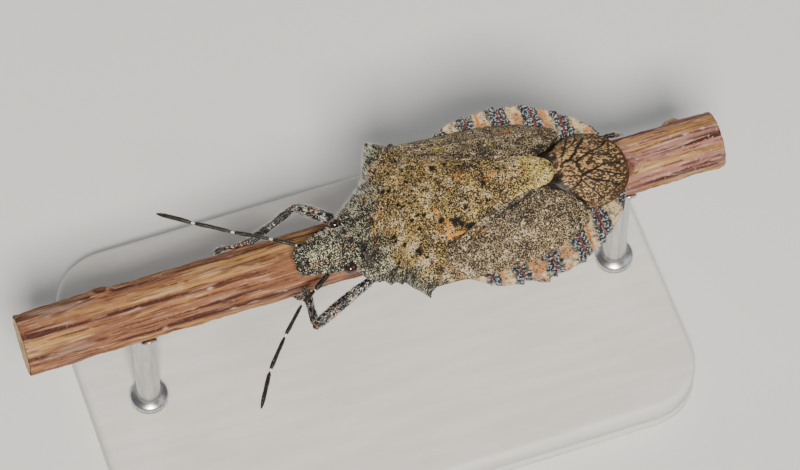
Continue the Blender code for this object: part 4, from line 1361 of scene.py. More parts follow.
@dataclass(frozen=True)
class BodySkin:
    """Thorax and abdomen as one skin: round belly, and a thin rim with small corners."""

    back: Back = Back()
    wings: Forewings = Forewings()
    half: Stations = ((3.42, 1.5), (4.3, 2.3), (4.8, 2.9), (5.3, 3.55), (6.2, 3.7), (7.0, 3.68), (7.7, 3.8),
                      (8.3, 4.2), (8.8, 4.55), (9.3, 4.68), (10.6, 4.82), (11.7, 4.86), (12.6, 4.72),
                      (13.5, 4.36), (14.5, 3.76), (15.4, 3.0), (16.0, 2.25), (16.35, 1.4))
    top: Stations = ((3.42, 2.75), (4.3, 3.0), (5.3, 3.72), (6.2, 3.8), (7.7, 3.7), (9.0, 3.68),
                     (16.35, 3.66))
    low: Stations = ((3.42, 2.4), (4.3, 2.62), (5.3, 3.05), (6.2, 3.1), (7.7, 3.1), (8.3, 3.16),
                     (16.35, 3.2))
    belly: Stations = ((3.42, 2.3), (4.2, 2.22), (12.5, 2.24), (14.6, 2.36), (16.35, 2.72))
    sutures: tuple[float, ...] = (7.7, 8.6, 10.1, 11.75, 13.35, 14.6, 16.35)
    corner: Stations = ((0.0, -0.13), (0.07, -0.05), (0.25, 0.0), (0.75, 0.02), (0.93, 0.1), (0.985, 0.07),
                        (1.0, -0.13))
    plates: tuple[Stations, ...] = (((4.9, 0.6), (5.1, 3.3)), ((6.5, 0.6), (6.4, 3.6)),
                                    ((7.6, 0.4), (7.5, 3.6)))
    rounding: float = 2.2
    spacing: float = 0.045
    hidden: int = 9
    rim: int = 22
    edge: int = 9
    under: int = 34
    coat: Coat = Coat(32.0, length=0.13, thickness=0.0105, lean=0.8, seed=17)

    def section(self, x: float) -> tuple[Array, Array, Array]:
        """Half of the section at x, from the top's middle to the belly's.

        Args:
            x: Place along the bug.

        Returns:
            Places across, heights, and how far out each is on the rim.
        """
        half = float(follow(self.half, x))
        part = self.fraction(np.array([x]))[1][0]
        if x > self.sutures[0]:
            half += float(follow(self.corner, part)) * min(1.0, (x - self.sutures[0]) / 0.9)
        open_from = min(float(self.wings.cover(np.array(x))) - 0.15, half - 0.1)
        top, low, belly = (float(follow(line, x)) for line in (self.top, self.low, self.belly))
        rim_start = min(top, float(self.back.height(x, open_from)) - 0.22)
        thick = max(0.12, 0.5 * (top - low))
        inner = np.linspace(0.0, open_from - 0.05, self.hidden)
        covered = np.minimum(self.back.height(x, inner) - 0.6, rim_start - 0.03 * inner / open_from)
        out = np.linspace(0.0, 1.0, self.rim)
        rim_y = open_from + out * (half - 0.5 * thick - open_from)
        rim_z = rim_start + (top - rim_start) * step(0.0, 0.5, out)
        turn = np.linspace(0.5 * math.pi, -0.5 * math.pi, self.edge + 2)[1:-1]
        edge_y = half - 0.5 * thick + 0.5 * thick * np.cos(turn)
        edge_z = 0.5 * (top + low) + 0.5 * (top - low) * np.sin(turn)
        share = np.linspace(1.0, 0.0, self.under)
        under_y = share * (half - 0.5 * thick)
        under_z = belly + (low - belly) * share ** self.rounding
        return (np.concatenate((inner, rim_y, edge_y, under_y)),
                np.concatenate((covered, rim_z, edge_z, under_z)),
                np.concatenate((0.0 * inner, 0.02 + out, 1.0 + 0.0 * turn, np.clip(2 * share - 1, 0, 1))))

    def fraction(self, x: Array) -> tuple[Array, Array]:
        """Number of the segment at each x, and how far along it x is."""
        ends = np.array(self.sutures)
        number = np.clip(np.searchsorted(ends, x, side="right") - 1, 0, len(ends) - 2)
        return number, np.clip((x - ends[number]) / (ends[number + 1] - ends[number]), 0.0, 1.0)

    def dress(self, finish: Finishes) -> None:
        """Build the skin and the few hairs along its rim."""
        xs = np.arange(self.half[0][0], self.half[-1][0], self.spacing)
        halves = [self.section(float(x)) for x in xs]
        y = np.array([half[0] for half in halves])
        z = np.array([half[1] for half in halves])
        out = np.array([half[2] for half in halves])
        y, z = np.concatenate((y, -y[:, -2:0:-1]), 1), np.concatenate((z, z[:, -2:0:-1]), 1)
        out = np.concatenate((out, out[:, -2:0:-1]), 1)
        number, part = self.fraction(xs)
        part, number = part[:, None] + 0 * y, number[:, None]
        x = xs[:, None] + 0 * y
        grid = np.stack((x, y, z), -1)
        behind = step(self.sutures[0] - 0.1, self.sutures[0] + 0.5, x)
        count = self.hidden + self.rim + self.edge
        is_rim = np.zeros(y.shape[1])
        is_rim[self.hidden:count + 4] = 1.0
        is_rim[-(count + 4) + 1:-self.hidden + 1] = 1.0
        is_rim = is_rim[None, :] * behind
        below = 1.0 - np.clip(is_rim, 0, 1)
        to_suture = np.minimum(part, 1.0 - part) * 1.5
        lumps = Grain.rough(grid, 0.5, 61)
        groove = step(0.07, 0.0, to_suture) * behind
        body = 0.035 * lumps + 0.02 * Grain.rough(grid, 0.18, 62, 2)
        away = grid - np.stack((x, 0 * y, 3.2 + 0 * z), -1)
        away[..., 0] = 0.0
        away /= np.linalg.norm(away, axis=-1, keepdims=True) + 1e-9
        ends = step(xs[0], xs[0] + 0.2, x) * step(xs[-1], xs[-1] - 0.2, x)
        plates = sum(stroke(np.stack((x, np.abs(y)), -1), line, 0.09) for line in self.plates)
        lift = body - 0.05 * groove - 0.07 * np.clip(plates, 0, 1) * (z < 3.4)
        grid += away * (lift * ends)[..., None]
        near = step(0.34, 0.2, part) + step(0.62, 0.76, part)
        uneven = 0.75 * Grain.rough(grid, 0.16, 63, 2) * step(0.06, 0.25, np.minimum(part, 1 - part))
        band = np.clip(near + uneven, 0, 1) * is_rim
        warm = is_rim * (1 - band) * Grain.patches(grid, 0.45, 64, -0.1, 0.6) * 0.8
        warm = np.maximum(warm, is_rim * 0.9 * step(0.07, 0.03, np.abs(part - 0.36)) * (number % 2 == 0))
        pale = is_rim * (1 - band) * (0.75 + 0.25 * step(0.4, 1.0, out)) + 0.12 * below
        flank = step(7.7, 7.3, x) * step(2.5, 3.0, z) * Grain.patches(grid, 0.4, 65, -0.35, 0.25)
        mottled = 0.5 * Grain.patches(grid, 0.7, 68, 0.1, 0.7) * step(1.2, 3.2, np.abs(y))
        band = np.maximum(band, below * np.maximum(0.9 * flank, mottled))
        spiracles = tuple((0.5 * (a + b), 3.55 - 0.12 * k, 0.09)
                          for k, (a, b) in enumerate(zip(self.sutures[1:], self.sutures[2:-1])))
        mirrored = np.stack((x, np.abs(y), 0 * y), -1)
        hole = spots(mirrored, spiracles, 0.3, 0.0) * (z < 3.2)
        form = Form()
        form.add_tube(grid, {Mask.DARK: band, Mask.WARM: warm, Mask.PALE: pale,
                             Mask.RIM: is_rim * step(0.055, 0.02, to_suture), Mask.PIT: hole})
        hang(form.build("body_skin", BUG_PLACE, finish.abdomen), "abdomen_cuticle", "thorax", "abdomen")
        share = is_rim * step(0.7, 1.0, out) + 0.05 * (z < 2.9)
        lie = np.stack((0.5 + 0 * y, np.sign(y), -0.1 + 0 * y), -1)
        self.coat.grow("hair_abdomen", "abdomen_cuticle", BUG_PLACE, grid, share, lie, finish.pale_hair)


@dataclass(frozen=True)
class Head:
    """Flat head with a blunt notched tip, and a groove on each side of its middle lobe."""

    rows: tuple[tuple[float, ...], ...] = (
        (0.0, 0.46, 2.6, 2.55, 2.48), (0.06, 0.62, 2.68, 2.56, 2.42), (0.16, 0.72, 2.75, 2.57, 2.36),
        (0.45, 0.84, 2.84, 2.6, 2.28), (1.0, 1.0, 2.97, 2.65, 2.18), (1.6, 1.16, 3.12, 2.7, 2.12),
        (2.0, 1.22, 3.22, 2.75, 2.12), (2.4, 1.2, 3.28, 2.8, 2.12), (2.8, 1.17, 3.32, 2.85, 2.12),
        (3.12, 1.05, 3.34, 2.85, 2.16), (3.55, 0.98, 3.22, 2.8, 2.2))
    notch: float = 0.13
    seam: float = 2.62
    spacing: float = 0.026
    sides: int = 168
    eye: Point = (2.42, 1.28, 2.99)
    eye_radii: Point = (0.32, 0.29, 0.29)
    ocellus: Point = (2.74, 0.42, 0.062)
    coat: Coat = Coat(110.0, length=0.13, thickness=0.0105, lean=0.9, seed=27)

    def surface(self) -> Array:
        """Points of the head before its relief."""
        x = np.arange(0.0, self.rows[-1][0] + 0.01, self.spacing)[:, None]
        half, crown, edge, throat = (
            follow(tuple((row[0], row[k]) for row in self.rows), x) for k in range(1, 5))
        turn = 2.0 * math.pi * (np.arange(self.sides)[None, :] + 0.5) / self.sides
        y = half * np.cos(turn)
        above = edge + (crown - edge) * np.sin(turn)
        under = edge - (edge - throat) * np.abs(np.sin(turn)) ** 1.5
        z = np.where(np.sin(turn) > 0, above, under)
        back = self.notch * np.exp(-(y / 0.13) ** 2) * np.clip(1.0 - x / 0.7, 0.0, 1.0) ** 2
        return np.stack((x + back + 0 * y, y, z), -1)

    def dress(self, finish: Finishes) -> None:
        """Build the head, its eyes and its hair."""
        grid = self.surface()
        x, y, z = grid[..., 0], grid[..., 1], grid[..., 2]
        outward = np.zeros_like(grid)
        outward[..., 1] = 0.6 * y
        outward[..., 2] = z - self.seam
        outward /= np.linalg.norm(outward, axis=-1, keepdims=True)
        upper = step(self.seam, 2.85, z)
        lobe = 0.20 + 0.10 * x
        groove = step(0.10, 0.0, np.abs(np.abs(y) - lobe)) * step(2.5, 2.0, x) * upper
        middle = step(0.06, -0.06, np.abs(y) - lobe) * step(2.6, 1.8, x) * upper
        relief, hole = pimple(grid, 0.135, 14)
        socket = np.linalg.norm((grid - np.array(self.eye) * (1, 0, 1) - np.stack(
            (0 * y, np.sign(y) * self.eye[1], 0 * y), -1)) / np.array(self.eye_radii), axis=-1)
        ring = step(1.6, 1.3, socket)
        lift = 0.05 * middle - 0.06 * groove + 0.05 * relief * upper + 0.02 * relief - 0.06
        lift += 0.03 * Grain.rough(grid, 0.4, 25) + 0.05 * ring
        lift *= step(-0.02, 0.25, x - self.notch) * 0.8 + 0.2
        grid = grid + outward * lift[..., None]
        folded = np.stack((x, np.abs(y)), -1)
        lines = stroke(folded, ((0.6, 0.52), (1.5, 0.62), (2.3, 0.85)), 0.09)
        veins = stroke(folded, ((2.1, 0.2), (2.9, 0.32)), 0.1)
        ragged = Grain.patches(flat(grid), 0.4, 46, -0.35, 0.4)
        dark = 0.3 * groove + 0.35 * ragged + 0.25 * hole + 0.5 * step(1.15, 1.0, socket)
        pale = 0.34 + 0.25 * middle + 0.5 * ring * step(1.1, 1.25, socket) - 0.2 * ragged
        pale = np.clip(pale, 0, 1) * upper
        warm = np.clip(0.5 * lines * (1 - ragged * 0.5) + 0.3 * veins, 0, 1) * upper
        form = Form()
        form.add_tube(grid, {Mask.DARK: dark, Mask.PALE: pale + 0.15 * (1 - upper), Mask.WARM: 0.6 * warm})
        hang(form.build("head_skin", BUG_PLACE, finish.head), "head_cuticle", "head")
        lie = np.stack((-0.6 + 0 * y, 0.8 * np.sign(y), 0.3 + 0 * y), -1)
        share = upper * step(3.2, 2.9, x) * step(1.05, 1.25, socket)
        share = share * (0.35 + 0.65 * step(0.6, 1.0, np.abs(y)))
        self.coat.grow("hair_head", "head_cuticle", BUG_PLACE, grid, share, lie, finish.pale_hair)
        for side in Side:
            centre = (self.eye[0], side.value * self.eye[1], self.eye[2])
            eye = Form()
            eye.add_tube(ball_grid(centre, self.eye_radii, 40, 64))
            hang(eye.build(f"eye_{side.label}_ball", BUG_PLACE, finish.eye), "eye", f"eye_{side.label}")
        dots = Form()
        for side in Side:
            at = (self.ocellus[0], side.value * self.ocellus[1])
            height = grid[..., 2].ravel()[np.argmin(np.hypot(x - at[0], y - at[1]) + 9.0 * (z < 2.9))]
            dots.add_tube(ball_grid((*at, height - 0.012), (self.ocellus[2],) * 3, 14, 24))
        hang(dots.build("ocelli", BUG_PLACE, finish.ocellus), "eye")


def limb(start: Array, end: Array, girth: Stations, spacing: float = 0.035, sides: int = 40,
         sag: Point = (0.0, 0.0, 0.0)) -> tuple[Array, Array, Array, Array]:
    """A rounded segment of a limb between two joints.

    Args:
        start: Its first end.
        end: Its last end.
        girth: (share of the length, radius) pairs.
        spacing: Distance from ring to ring.
        sides: Points on a ring.
        sag: How far its middle lies off the straight line.

    Returns:
        Ring points, outward directions, and at each point the share of the length and the angle.
    """
    start, end = np.array(start, float), np.array(end, float)
    length = np.linalg.norm(end - start)
    first, last = girth[0][1], girth[-1][1]
    reach = np.concatenate((-first * np.cos(np.linspace(0.08, 1.35, 7)),
                            np.arange(0.0, length, spacing),
                            length + last * np.sin(np.linspace(0.1, 1.48, 8))))
    t = np.clip(reach / length, 0.0, 1.0)
    path = start + (end - start) * (reach / length)[:, None]
    path = path + np.array(sag) * (4.0 * t * (1.0 - t))[:, None]
    radii = follow(girth, t)
    over = np.where(reach < 0.0, -reach / first, np.where(reach > length, (reach - length) / last, 0.0))
    radii = radii * np.sqrt(np.clip(1.0 - over ** 2, 0.004, 1.0))
    grid, outward = tube_grid(path, radii, sides)
    angle = 2.0 * math.pi * np.arange(sides)[None, :] / sides + 0.0 * t[:, None]
    return grid, outward, t[:, None] + 0.0 * angle, angle


@dataclass(frozen=True)
class Feelers:
    """Two black feelers of five segments, with a narrow white ring at the joints."""

    left: tuple[Point, ...] = ((1.5, -2.33, 2.48), (0.55, -2.95, 2.36), (-0.3, -3.5, 2.4), (-1.6, -4.8, 2.2),
                               (-2.85, -6.26, 2.0), (-3.85, -7.99, 1.9))
    right: tuple[Point, ...] = ((1.5, -0.75, 2.48), (0.5, -0.3, 2.3), (-0.6, 0.42, 2.36),
                                (-2.24, 1.37, 2.4), (-3.92, 2.43, 2.5), (-5.43, 3.5, 2.5))
    radii: tuple[float, ...] = (0.12, 0.09, 0.088, 0.092, 0.105)
    ring: float = 0.11
    coat: Coat = Coat(120.0, length=0.085, thickness=0.006, lean=0.8, seed=37)

    def dress(self, finish: Finishes) -> None:
        """Build both feelers and their hair."""
        for side, corners in ((Side.LEFT, self.left), (Side.RIGHT, self.right)):
            form = Form()
            parts = []
            for k, (start, end) in enumerate(zip(corners, corners[1:])):
                radius = self.radii[k]
                last = k == len(self.radii) - 1
                girth = ((0.0, 0.052), (0.05, 0.055), (0.13, 0.85 * radius), (0.5, radius),
                         (0.9, radius if not last else 0.8 * radius), (1.0, 0.055 if not last else 0.04))
                length = math.dist(start, end)
                grid, outward, t, _ = limb(start, end, girth, 0.03, 28, (0.0, 0.0, 0.05 * length / 2))
                lumps = 0.006 * Grain.rough(grid, 0.12, 66 + k, 2)
                grid = grid + outward * lumps[..., None]
                near = np.minimum(t, 1.0 - t if not last else 1.0) * length
                band = step(self.ring, 0.7 * self.ring, near) if k > 0 else 0.0 * t
                fleck = 0.15 * step(0.35, 0.6, Grain.lumps(grid, 0.12, 67))
                form.add_tube(grid, {Mask.PALE: band + fleck})
                parts.append(grid)
            hang(form.build(f"feeler_{side.label}_skin", PERCH_PLACE, finish.feeler), "limb_cuticle",
                 f"antenna_{side.label}")
            grid, share = bare_joints(parts, [np.ones(part.shape[:2]) for part in parts])
            lie = np.broadcast_to(np.array(corners[-1]) - np.array(corners[1]), grid.shape)
            lie = lie / np.linalg.norm(lie[0, 0])
            self.coat.grow(f"hair_feeler_{side.label}", "limb_cuticle", PERCH_PLACE, grid, share, lie,
                           finish.dark_hair)


@dataclass(frozen=True)
class Twig:
    """Cut length of twig with streaked bark."""

    first: float = -13.5
    length: float = 36.0
    radii: tuple[float, float] = (1.56, 1.43)
    rings: int = 470
    sides: int = 190
    scars: Spots = ((-9.2, 40.0, 0.42), (17.4, -35.0, 0.45), (20.6, 75.0, 0.3), (4.0, 170.0, 0.4))

    def radius(self, x: Array) -> Array:
        """Radius of the plain twig."""
        return self.radii[0] + (x - self.first) / self.length * (self.radii[1] - self.radii[0])

    def on(self, x: float, degrees: float, standoff: float) -> Array:
        """A point over the bark, at an angle from the twig's top."""
        reach = self.radius(x) + standoff
        turn = math.radians(degrees)
        return np.array((x, reach * math.sin(turn), reach * math.cos(turn)))

    def dress(self, finish: Finishes) -> None:
        """Build the twig."""
        x = np.linspace(self.first, self.first + self.length, self.rings)
        turn = 2.0 * math.pi * np.arange(self.sides)[None, :] / self.sides
        along = x[:, None] + 0.0 * turn
        around = np.stack((0.11 * along, 1.5 * np.cos(turn) + 0 * along, 1.5 * np.sin(turn) + 0 * along), -1)
        plain = np.stack((along, around[..., 1], around[..., 2]), -1)
        ridges = Grain.rough(around, 0.42, 81, 4)
        cracks = step(0.30, 0.05, np.abs(Grain.rough(around * (1.3, 1, 1), 0.35, 91, 3)))
        wave = 0.03 * np.sin(2.3 * along + 3 * turn) * np.cos(0.7 * along - 2 * turn)
        relief = wave + 0.055 * ridges - 0.05 * cracks * step(-0.2, 0.6, ridges)
        relief = relief + 0.02 * Grain.rough(plain, 0.3, 85)
        away, number = Grain.cells(plain * (0.55, 1, 1), 0.62, 86)
        warts = step(0.2, 0.08, away) * step(0.55, 0.65, number)
        relief += 0.035 * warts
        scar = np.zeros_like(relief)
        for at, degrees, size in self.scars:
            gap = (turn - math.radians(degrees) + math.pi) % (2 * math.pi) - math.pi
            reach = np.hypot((along - at) / size, gap * 1.5 / size)
            scar = np.maximum(scar, step(1.0, 0.8, reach))
            relief += 0.16 * step(1.9, 0.7, reach) - 0.12 * step(0.75, 0.45, reach)
        reach = self.radius(along) + relief * step(0.0, 0.25, np.minimum(along - x[0], x[-1] - along)) - 0.02
        grid = np.stack((along, reach * np.sin(turn), reach * np.cos(turn)), -1)
        shares = np.array((0.975, 0.94, 0.9, 0.8, 0.68, 0.56, 0.44, 0.32, 0.22, 0.15, 0.1, 0.05))
        saw = 0.02 * Grain.lumps(plain * (0, 1, 1), 0.2, 88)
        caps = []
        for end, way in ((0, -1.0), (-1, 1.0)):
            cap = grid[end][None] * np.stack((np.ones_like(shares), shares, shares), -1)[:, None, :]
            cap[..., 0] = x[end] + way * (0.03 + saw[end] * shares[:, None])
            caps.append(cap)
        grid = np.concatenate((caps[0][::-1], grid, caps[1]))
        depth = np.concatenate((shares[::-1], np.ones(self.rings), shares))[:, None] + 0.0 * turn
        cut = (depth < 0.999).astype(float)
        pad = ((len(shares), len(shares)), (0, 0))
        pale = np.pad(0.8 * warts + 0.3 * step(0.3, 0.9, ridges), pad)
        pit = np.pad(0.7 * cracks * step(-0.1, 0.6, ridges) + 0.8 * scar, pad)
        form = Form()
        form.add_tube(grid, {Mask.PALE: pale, Mask.PIT: pit, Mask.CUT: cut, Mask.DEPTH: depth})
        hang(form.build("twig_bark", PERCH_PLACE, finish.bark), "bark", "perch_twig")


class Segment(Enum):
    """Kinds of segments of a leg."""

    COXA = "coxa"
    TROCHANTER = "trochanter"
    FEMUR = "femur"
    TIBIA = "tibia"
    TARSUS = "tarsus"


@dataclass(frozen=True)
class Route:
    """Joints of one leg, with the ankle, sole and toe as (x, degrees from the twig's top)."""

    name: str
    coxa: Point
    hip: Point
    knee: Point
    foot: Stations


@dataclass(frozen=True)
class Legs:
    """Six speckled legs that reach round the twig, each with two claws."""

    twig: Twig = Twig()
    routes: tuple[Route, ...] = (
        Route("front_left", (4.1, -2.4, 2.6), (3.7, -2.95, 1.96), (0.13, -4.24, 1.2),
              ((0.45, -86), (0.3, -114), (0.1, -141))),
        Route("front_right", (4.1, -0.7, 2.6), (3.7, -0.3, 2.04), (1.2, 2.35, 1.3),
              ((-1.35, 66), (-2.3, 61), (-3.2, 58))),
        Route("mid_left", (5.3, -2.5, 2.6), (5.7, -2.95, 1.94), (7.3, -3.9, 1.4),
              ((6.6, -84), (6.4, -113), (6.2, -141))),
        Route("mid_right", (5.3, -0.7, 2.6), (5.5, -0.2, 2.06), (6.6, 3.58, 2.2),
              ((7.6, 105), (7.9, 133), (8.1, 158))),
        Route("hind_left", (7.2, -2.7, 2.6), (7.7, -3.1, 1.94), (11.5, -5.65, 1.6),
              ((14.3, -87), (14.6, -114), (14.8, -141))),
        Route("hind_right", (7.2, -0.8, 2.6), (7.7, -0.3, 2.06), (11.8, 2.6, 1.9),
              ((15.9, 62), (16.9, 59), (17.8, 58))))
    coxa: Stations = ((0.0, 0.3), (0.5, 0.33), (1.0, 0.2))
    trochanter: Stations = ((0.0, 0.19), (0.5, 0.22), (1.0, 0.19))
    femur: Stations = ((0.0, 0.18), (0.12, 0.22), (0.4, 0.27), (0.7, 0.28), (0.93, 0.23), (1.0, 0.17))
    tibia: Stations = ((0.0, 0.13), (0.05, 0.15), (0.12, 0.185), (0.5, 0.175), (0.93, 0.2), (1.0, 0.17))
    tarsi: tuple[Stations, ...] = (((0.0, 0.1), (0.2, 0.13), (0.9, 0.14), (1.0, 0.12)),
                                   ((0.0, 0.09), (0.3, 0.12), (1.0, 0.12)),
                                   ((0.0, 0.08), (0.15, 0.1), (0.85, 0.12), (1.0, 0.09)))
    bow: float = 0.10
    standoff: float = 0.12
    ankle_lift: float = 0.08
    claw: float = 0.36
    claw_root: float = 0.045
    pad: Point = (0.06, 0.05, 0.04)
    spread: float = math.radians(28)
    coat: Coat = Coat(62.0, length=0.2, thickness=0.011, lean=1.0, seed=47)

    def dress(self, finish: Finishes) -> None:
        """Build the legs, their hair and their claws."""
        claws = Form()
        for route in self.routes:
            ankle = self.twig.on(*route.foot[0], self.standoff + self.ankle_lift)
            sole, toe = (self.twig.on(*place, self.standoff) for place in route.foot[1:])
            upper = [np.array(joint) for joint in (route.coxa, route.hip, route.knee)]
            self.dress_leg(finish, route.name, [*upper, ankle, sole, toe])
            self.add_claws(claws, sole, toe)
        hang(claws.build("claws", PERCH_PLACE, finish.dark_hair), "limb_cuticle")

    def dress_leg(self, finish: Finishes, name: str, joints: list[Array]) -> None:
        """Build one leg and its hair.

        Args:
            finish: The model's finishes.
            name: Which leg it is.
            joints: Coxa, hip, knee, ankle, sole and toe.
        """
        coxa, hip, knee, ankle, sole, toe = joints
        middle = 0.5 * (ankle + sole) + 0.03 * (ankle - sole)
        form = Form()
        hairy = []
        parts = (
            (Segment.COXA, coxa, hip, self.coxa),
            (Segment.TROCHANTER, hip, hip + 0.09 * (knee - hip), self.trochanter),
            (Segment.FEMUR, hip + 0.07 * (knee - hip), knee, self.femur),
            (Segment.TIBIA, knee, ankle, self.tibia),
            (Segment.TARSUS, ankle, middle, self.tarsi[0]),
            (Segment.TARSUS, middle, sole + 0.3 * (middle - sole), self.tarsi[1]),
            (Segment.TARSUS, sole + 0.2 * (middle - sole), toe, self.tarsi[2]))
        for kind, start, end, girth in parts:
            sag = np.zeros(3)
            if end is toe:
                centre = 0.5 * (start + end)
                sag = self.bow * np.array((0.0, centre[1], centre[2])) / math.hypot(centre[1], centre[2])
            elif kind is Segment.FEMUR:
                sag = np.array((0.0, 0.0, self.bow))
            grid, outward, t, angle = limb(start, end, girth, 0.032, 44, tuple(sag))
            masks, lift = self.markings(kind, grid, t, angle)
            grid = grid + outward * lift[..., None]
            form.add_tube(grid, masks)
            if kind is not Segment.COXA:
                hairy.append((grid, end - start, 0.25 if kind is Segment.TROCHANTER else 1.0))
        hang(form.build(f"leg_{name}_skin", PERCH_PLACE, finish.limb), "limb_cuticle", f"leg_{name}")
        grid, share = bare_joints([part for part, _, _ in hairy],
                                  [np.full(part.shape[:2], much) for part, _, much in hairy])
        lie = np.concatenate([np.broadcast_to(way / np.linalg.norm(way), part.shape)
                              for part, way, _ in hairy])
        self.coat.grow(f"hair_leg_{name}", "limb_cuticle", PERCH_PLACE, grid, share, lie, finish.pale_hair)

    @staticmethod
    def markings(kind: Segment, grid: Array, t: Array, angle: Array) -> tuple[dict[Mask, Array], Array]:
        """Bands, flecks and relief of one segment of a leg.

        Args:
            kind: Which segment it is.
            grid: Its points.
            t: Share of its length at each point.
            angle: Angle round the segment at each point.

        Returns:
            The masks, and how far to lift each point.
        """
        jitter = t + 0.05 * Grain.lumps(grid, 0.18, 72)
        blotch = Grain.patches(grid, 0.32, 73, -0.1, 0.6)
        lift = 0.014 * Grain.rough(grid, 0.14, 74, 2)
        dark, pale, warm = 0.25 * (1 - blotch), 0.3 * blotch, 0.0 * t
        if kind is Segment.FEMUR:
            warm = 0.66 * step(0.60, 0.64, jitter) * step(0.75, 0.70, jitter) * (0.4 + 0.6 * blotch)
            warm = warm + 0.7 * step(0.95, 0.99, jitter)
            pale = pale + 0.12 + 0.35 * step(0.3, 0.4, jitter) * step(0.55, 0.5, jitter) * blotch
            away, number = Grain.cells(grid, 0.16, 75)
            lift = lift + 0.03 * step(0.3, 0.1, away) * step(0.4, 0.6, number)
        elif kind is Segment.TIBIA:
            lift = lift + 0.018 * np.cos(4.0 * angle) * step(0.0, 0.2, t)
            warm = 0.7 * step(0.06, 0.02, jitter)
            dark, pale = dark + 0.5 * step(0.05, 0.15, t), 0.3 * pale
            pale = pale + 0.75 * step(0.42, 0.47, jitter) * step(0.64, 0.58, jitter)
            pale = pale + 0.35 * step(0.12, 0.16, jitter) * step(0.24, 0.2, jitter)
        elif kind is Segment.TARSUS:
            warm = 0.45 + 0.0 * t
            pale = 0.25 * step(0.3, 0.1, t)
        elif kind is Segment.COXA:
            warm = 0.5 + 0.0 * t
        return {Mask.DARK: dark, Mask.PALE: pale, Mask.WARM: warm}, lift

    def add_claws(self, form: Form, sole: Array, toe: Array) -> None:
        """Add two hooked claws and the soft pads under them.

        Args:
            form: What they are added to.
            sole: Joint before the foot's last segment.
            toe: End of the foot.
        """
        forward = (toe - sole) / np.linalg.norm(toe - sole)
        outward = np.array((0.0, toe[1], toe[2])) / math.hypot(toe[1], toe[2])
        across = np.cross(forward, outward)
        steps, sides, pad_size = 16, 10, (8, 12)
        for side in (-1.0, 1.0):
            aim = forward * math.cos(self.spread) + across * side * math.sin(self.spread)
            t = np.linspace(0.0, 1.0, steps)[:, None]
            hook = 0.05 * np.sin(math.pi * t) - 0.09 * t * t
            path = toe - 0.05 * forward + aim * self.claw * t + outward * hook
            radii = self.claw_root * (1.0 - t[:, 0]) ** 0.8 + 0.004
            form.add_tube(tube_grid(path, radii, sides)[0],
                          {Mask.TIP: 0.3 * (1 - t) + np.zeros((steps, sides))})
            pad = toe + 0.1 * aim - 0.05 * outward
            form.add_tube(ball_grid(tuple(pad), self.pad, *pad_size), {Mask.TIP: np.ones(pad_size)})


@dataclass(frozen=True)
class Beak:
    """Sucking beak of four joints, folded back under the body."""

    route: Stations = ((0.55, 2.32), (0.95, 1.95), (2.9, 1.84), (5.0, 1.88), (7.2, 1.9), (9.0, 1.94))
    radii: tuple[float, ...] = (0.17, 0.17, 0.16, 0.14, 0.11)

    def dress(self, finish: Finishes) -> None:
        """Build the beak."""
        form = Form()
        for k, ((ax, az), (bx, bz)) in enumerate(zip(self.route, self.route[1:])):
            r = self.radii[k]
            narrow, tip = (0.6 * r, 0.035) if k == len(self.radii) - 1 else (0.95 * r, 0.75 * r)
            girth = ((0.0, 0.7 * r), (0.08, 0.95 * r), (0.5, r), (0.9, narrow), (1.0, tip))
            grid, outward, t, angle = limb((ax, 0.0, az), (bx, 0.0, bz), girth, 0.05, 36)
            lift = 0.01 * Grain.rough(grid, 0.2, 76 + k, 2) - 0.03 * step(0.35, 0.0, np.abs(angle - math.pi))
            form.add_tube(grid + outward * lift[..., None],
                          {Mask.DARK: 0.9 * step(0.6, 1.0, t) * (k > 2) + 0.1, Mask.PALE: 0.25 + 0.0 * t})
        hang(form.build("beak_skin", BUG_PLACE, finish.underside), "underside_cuticle", "beak")


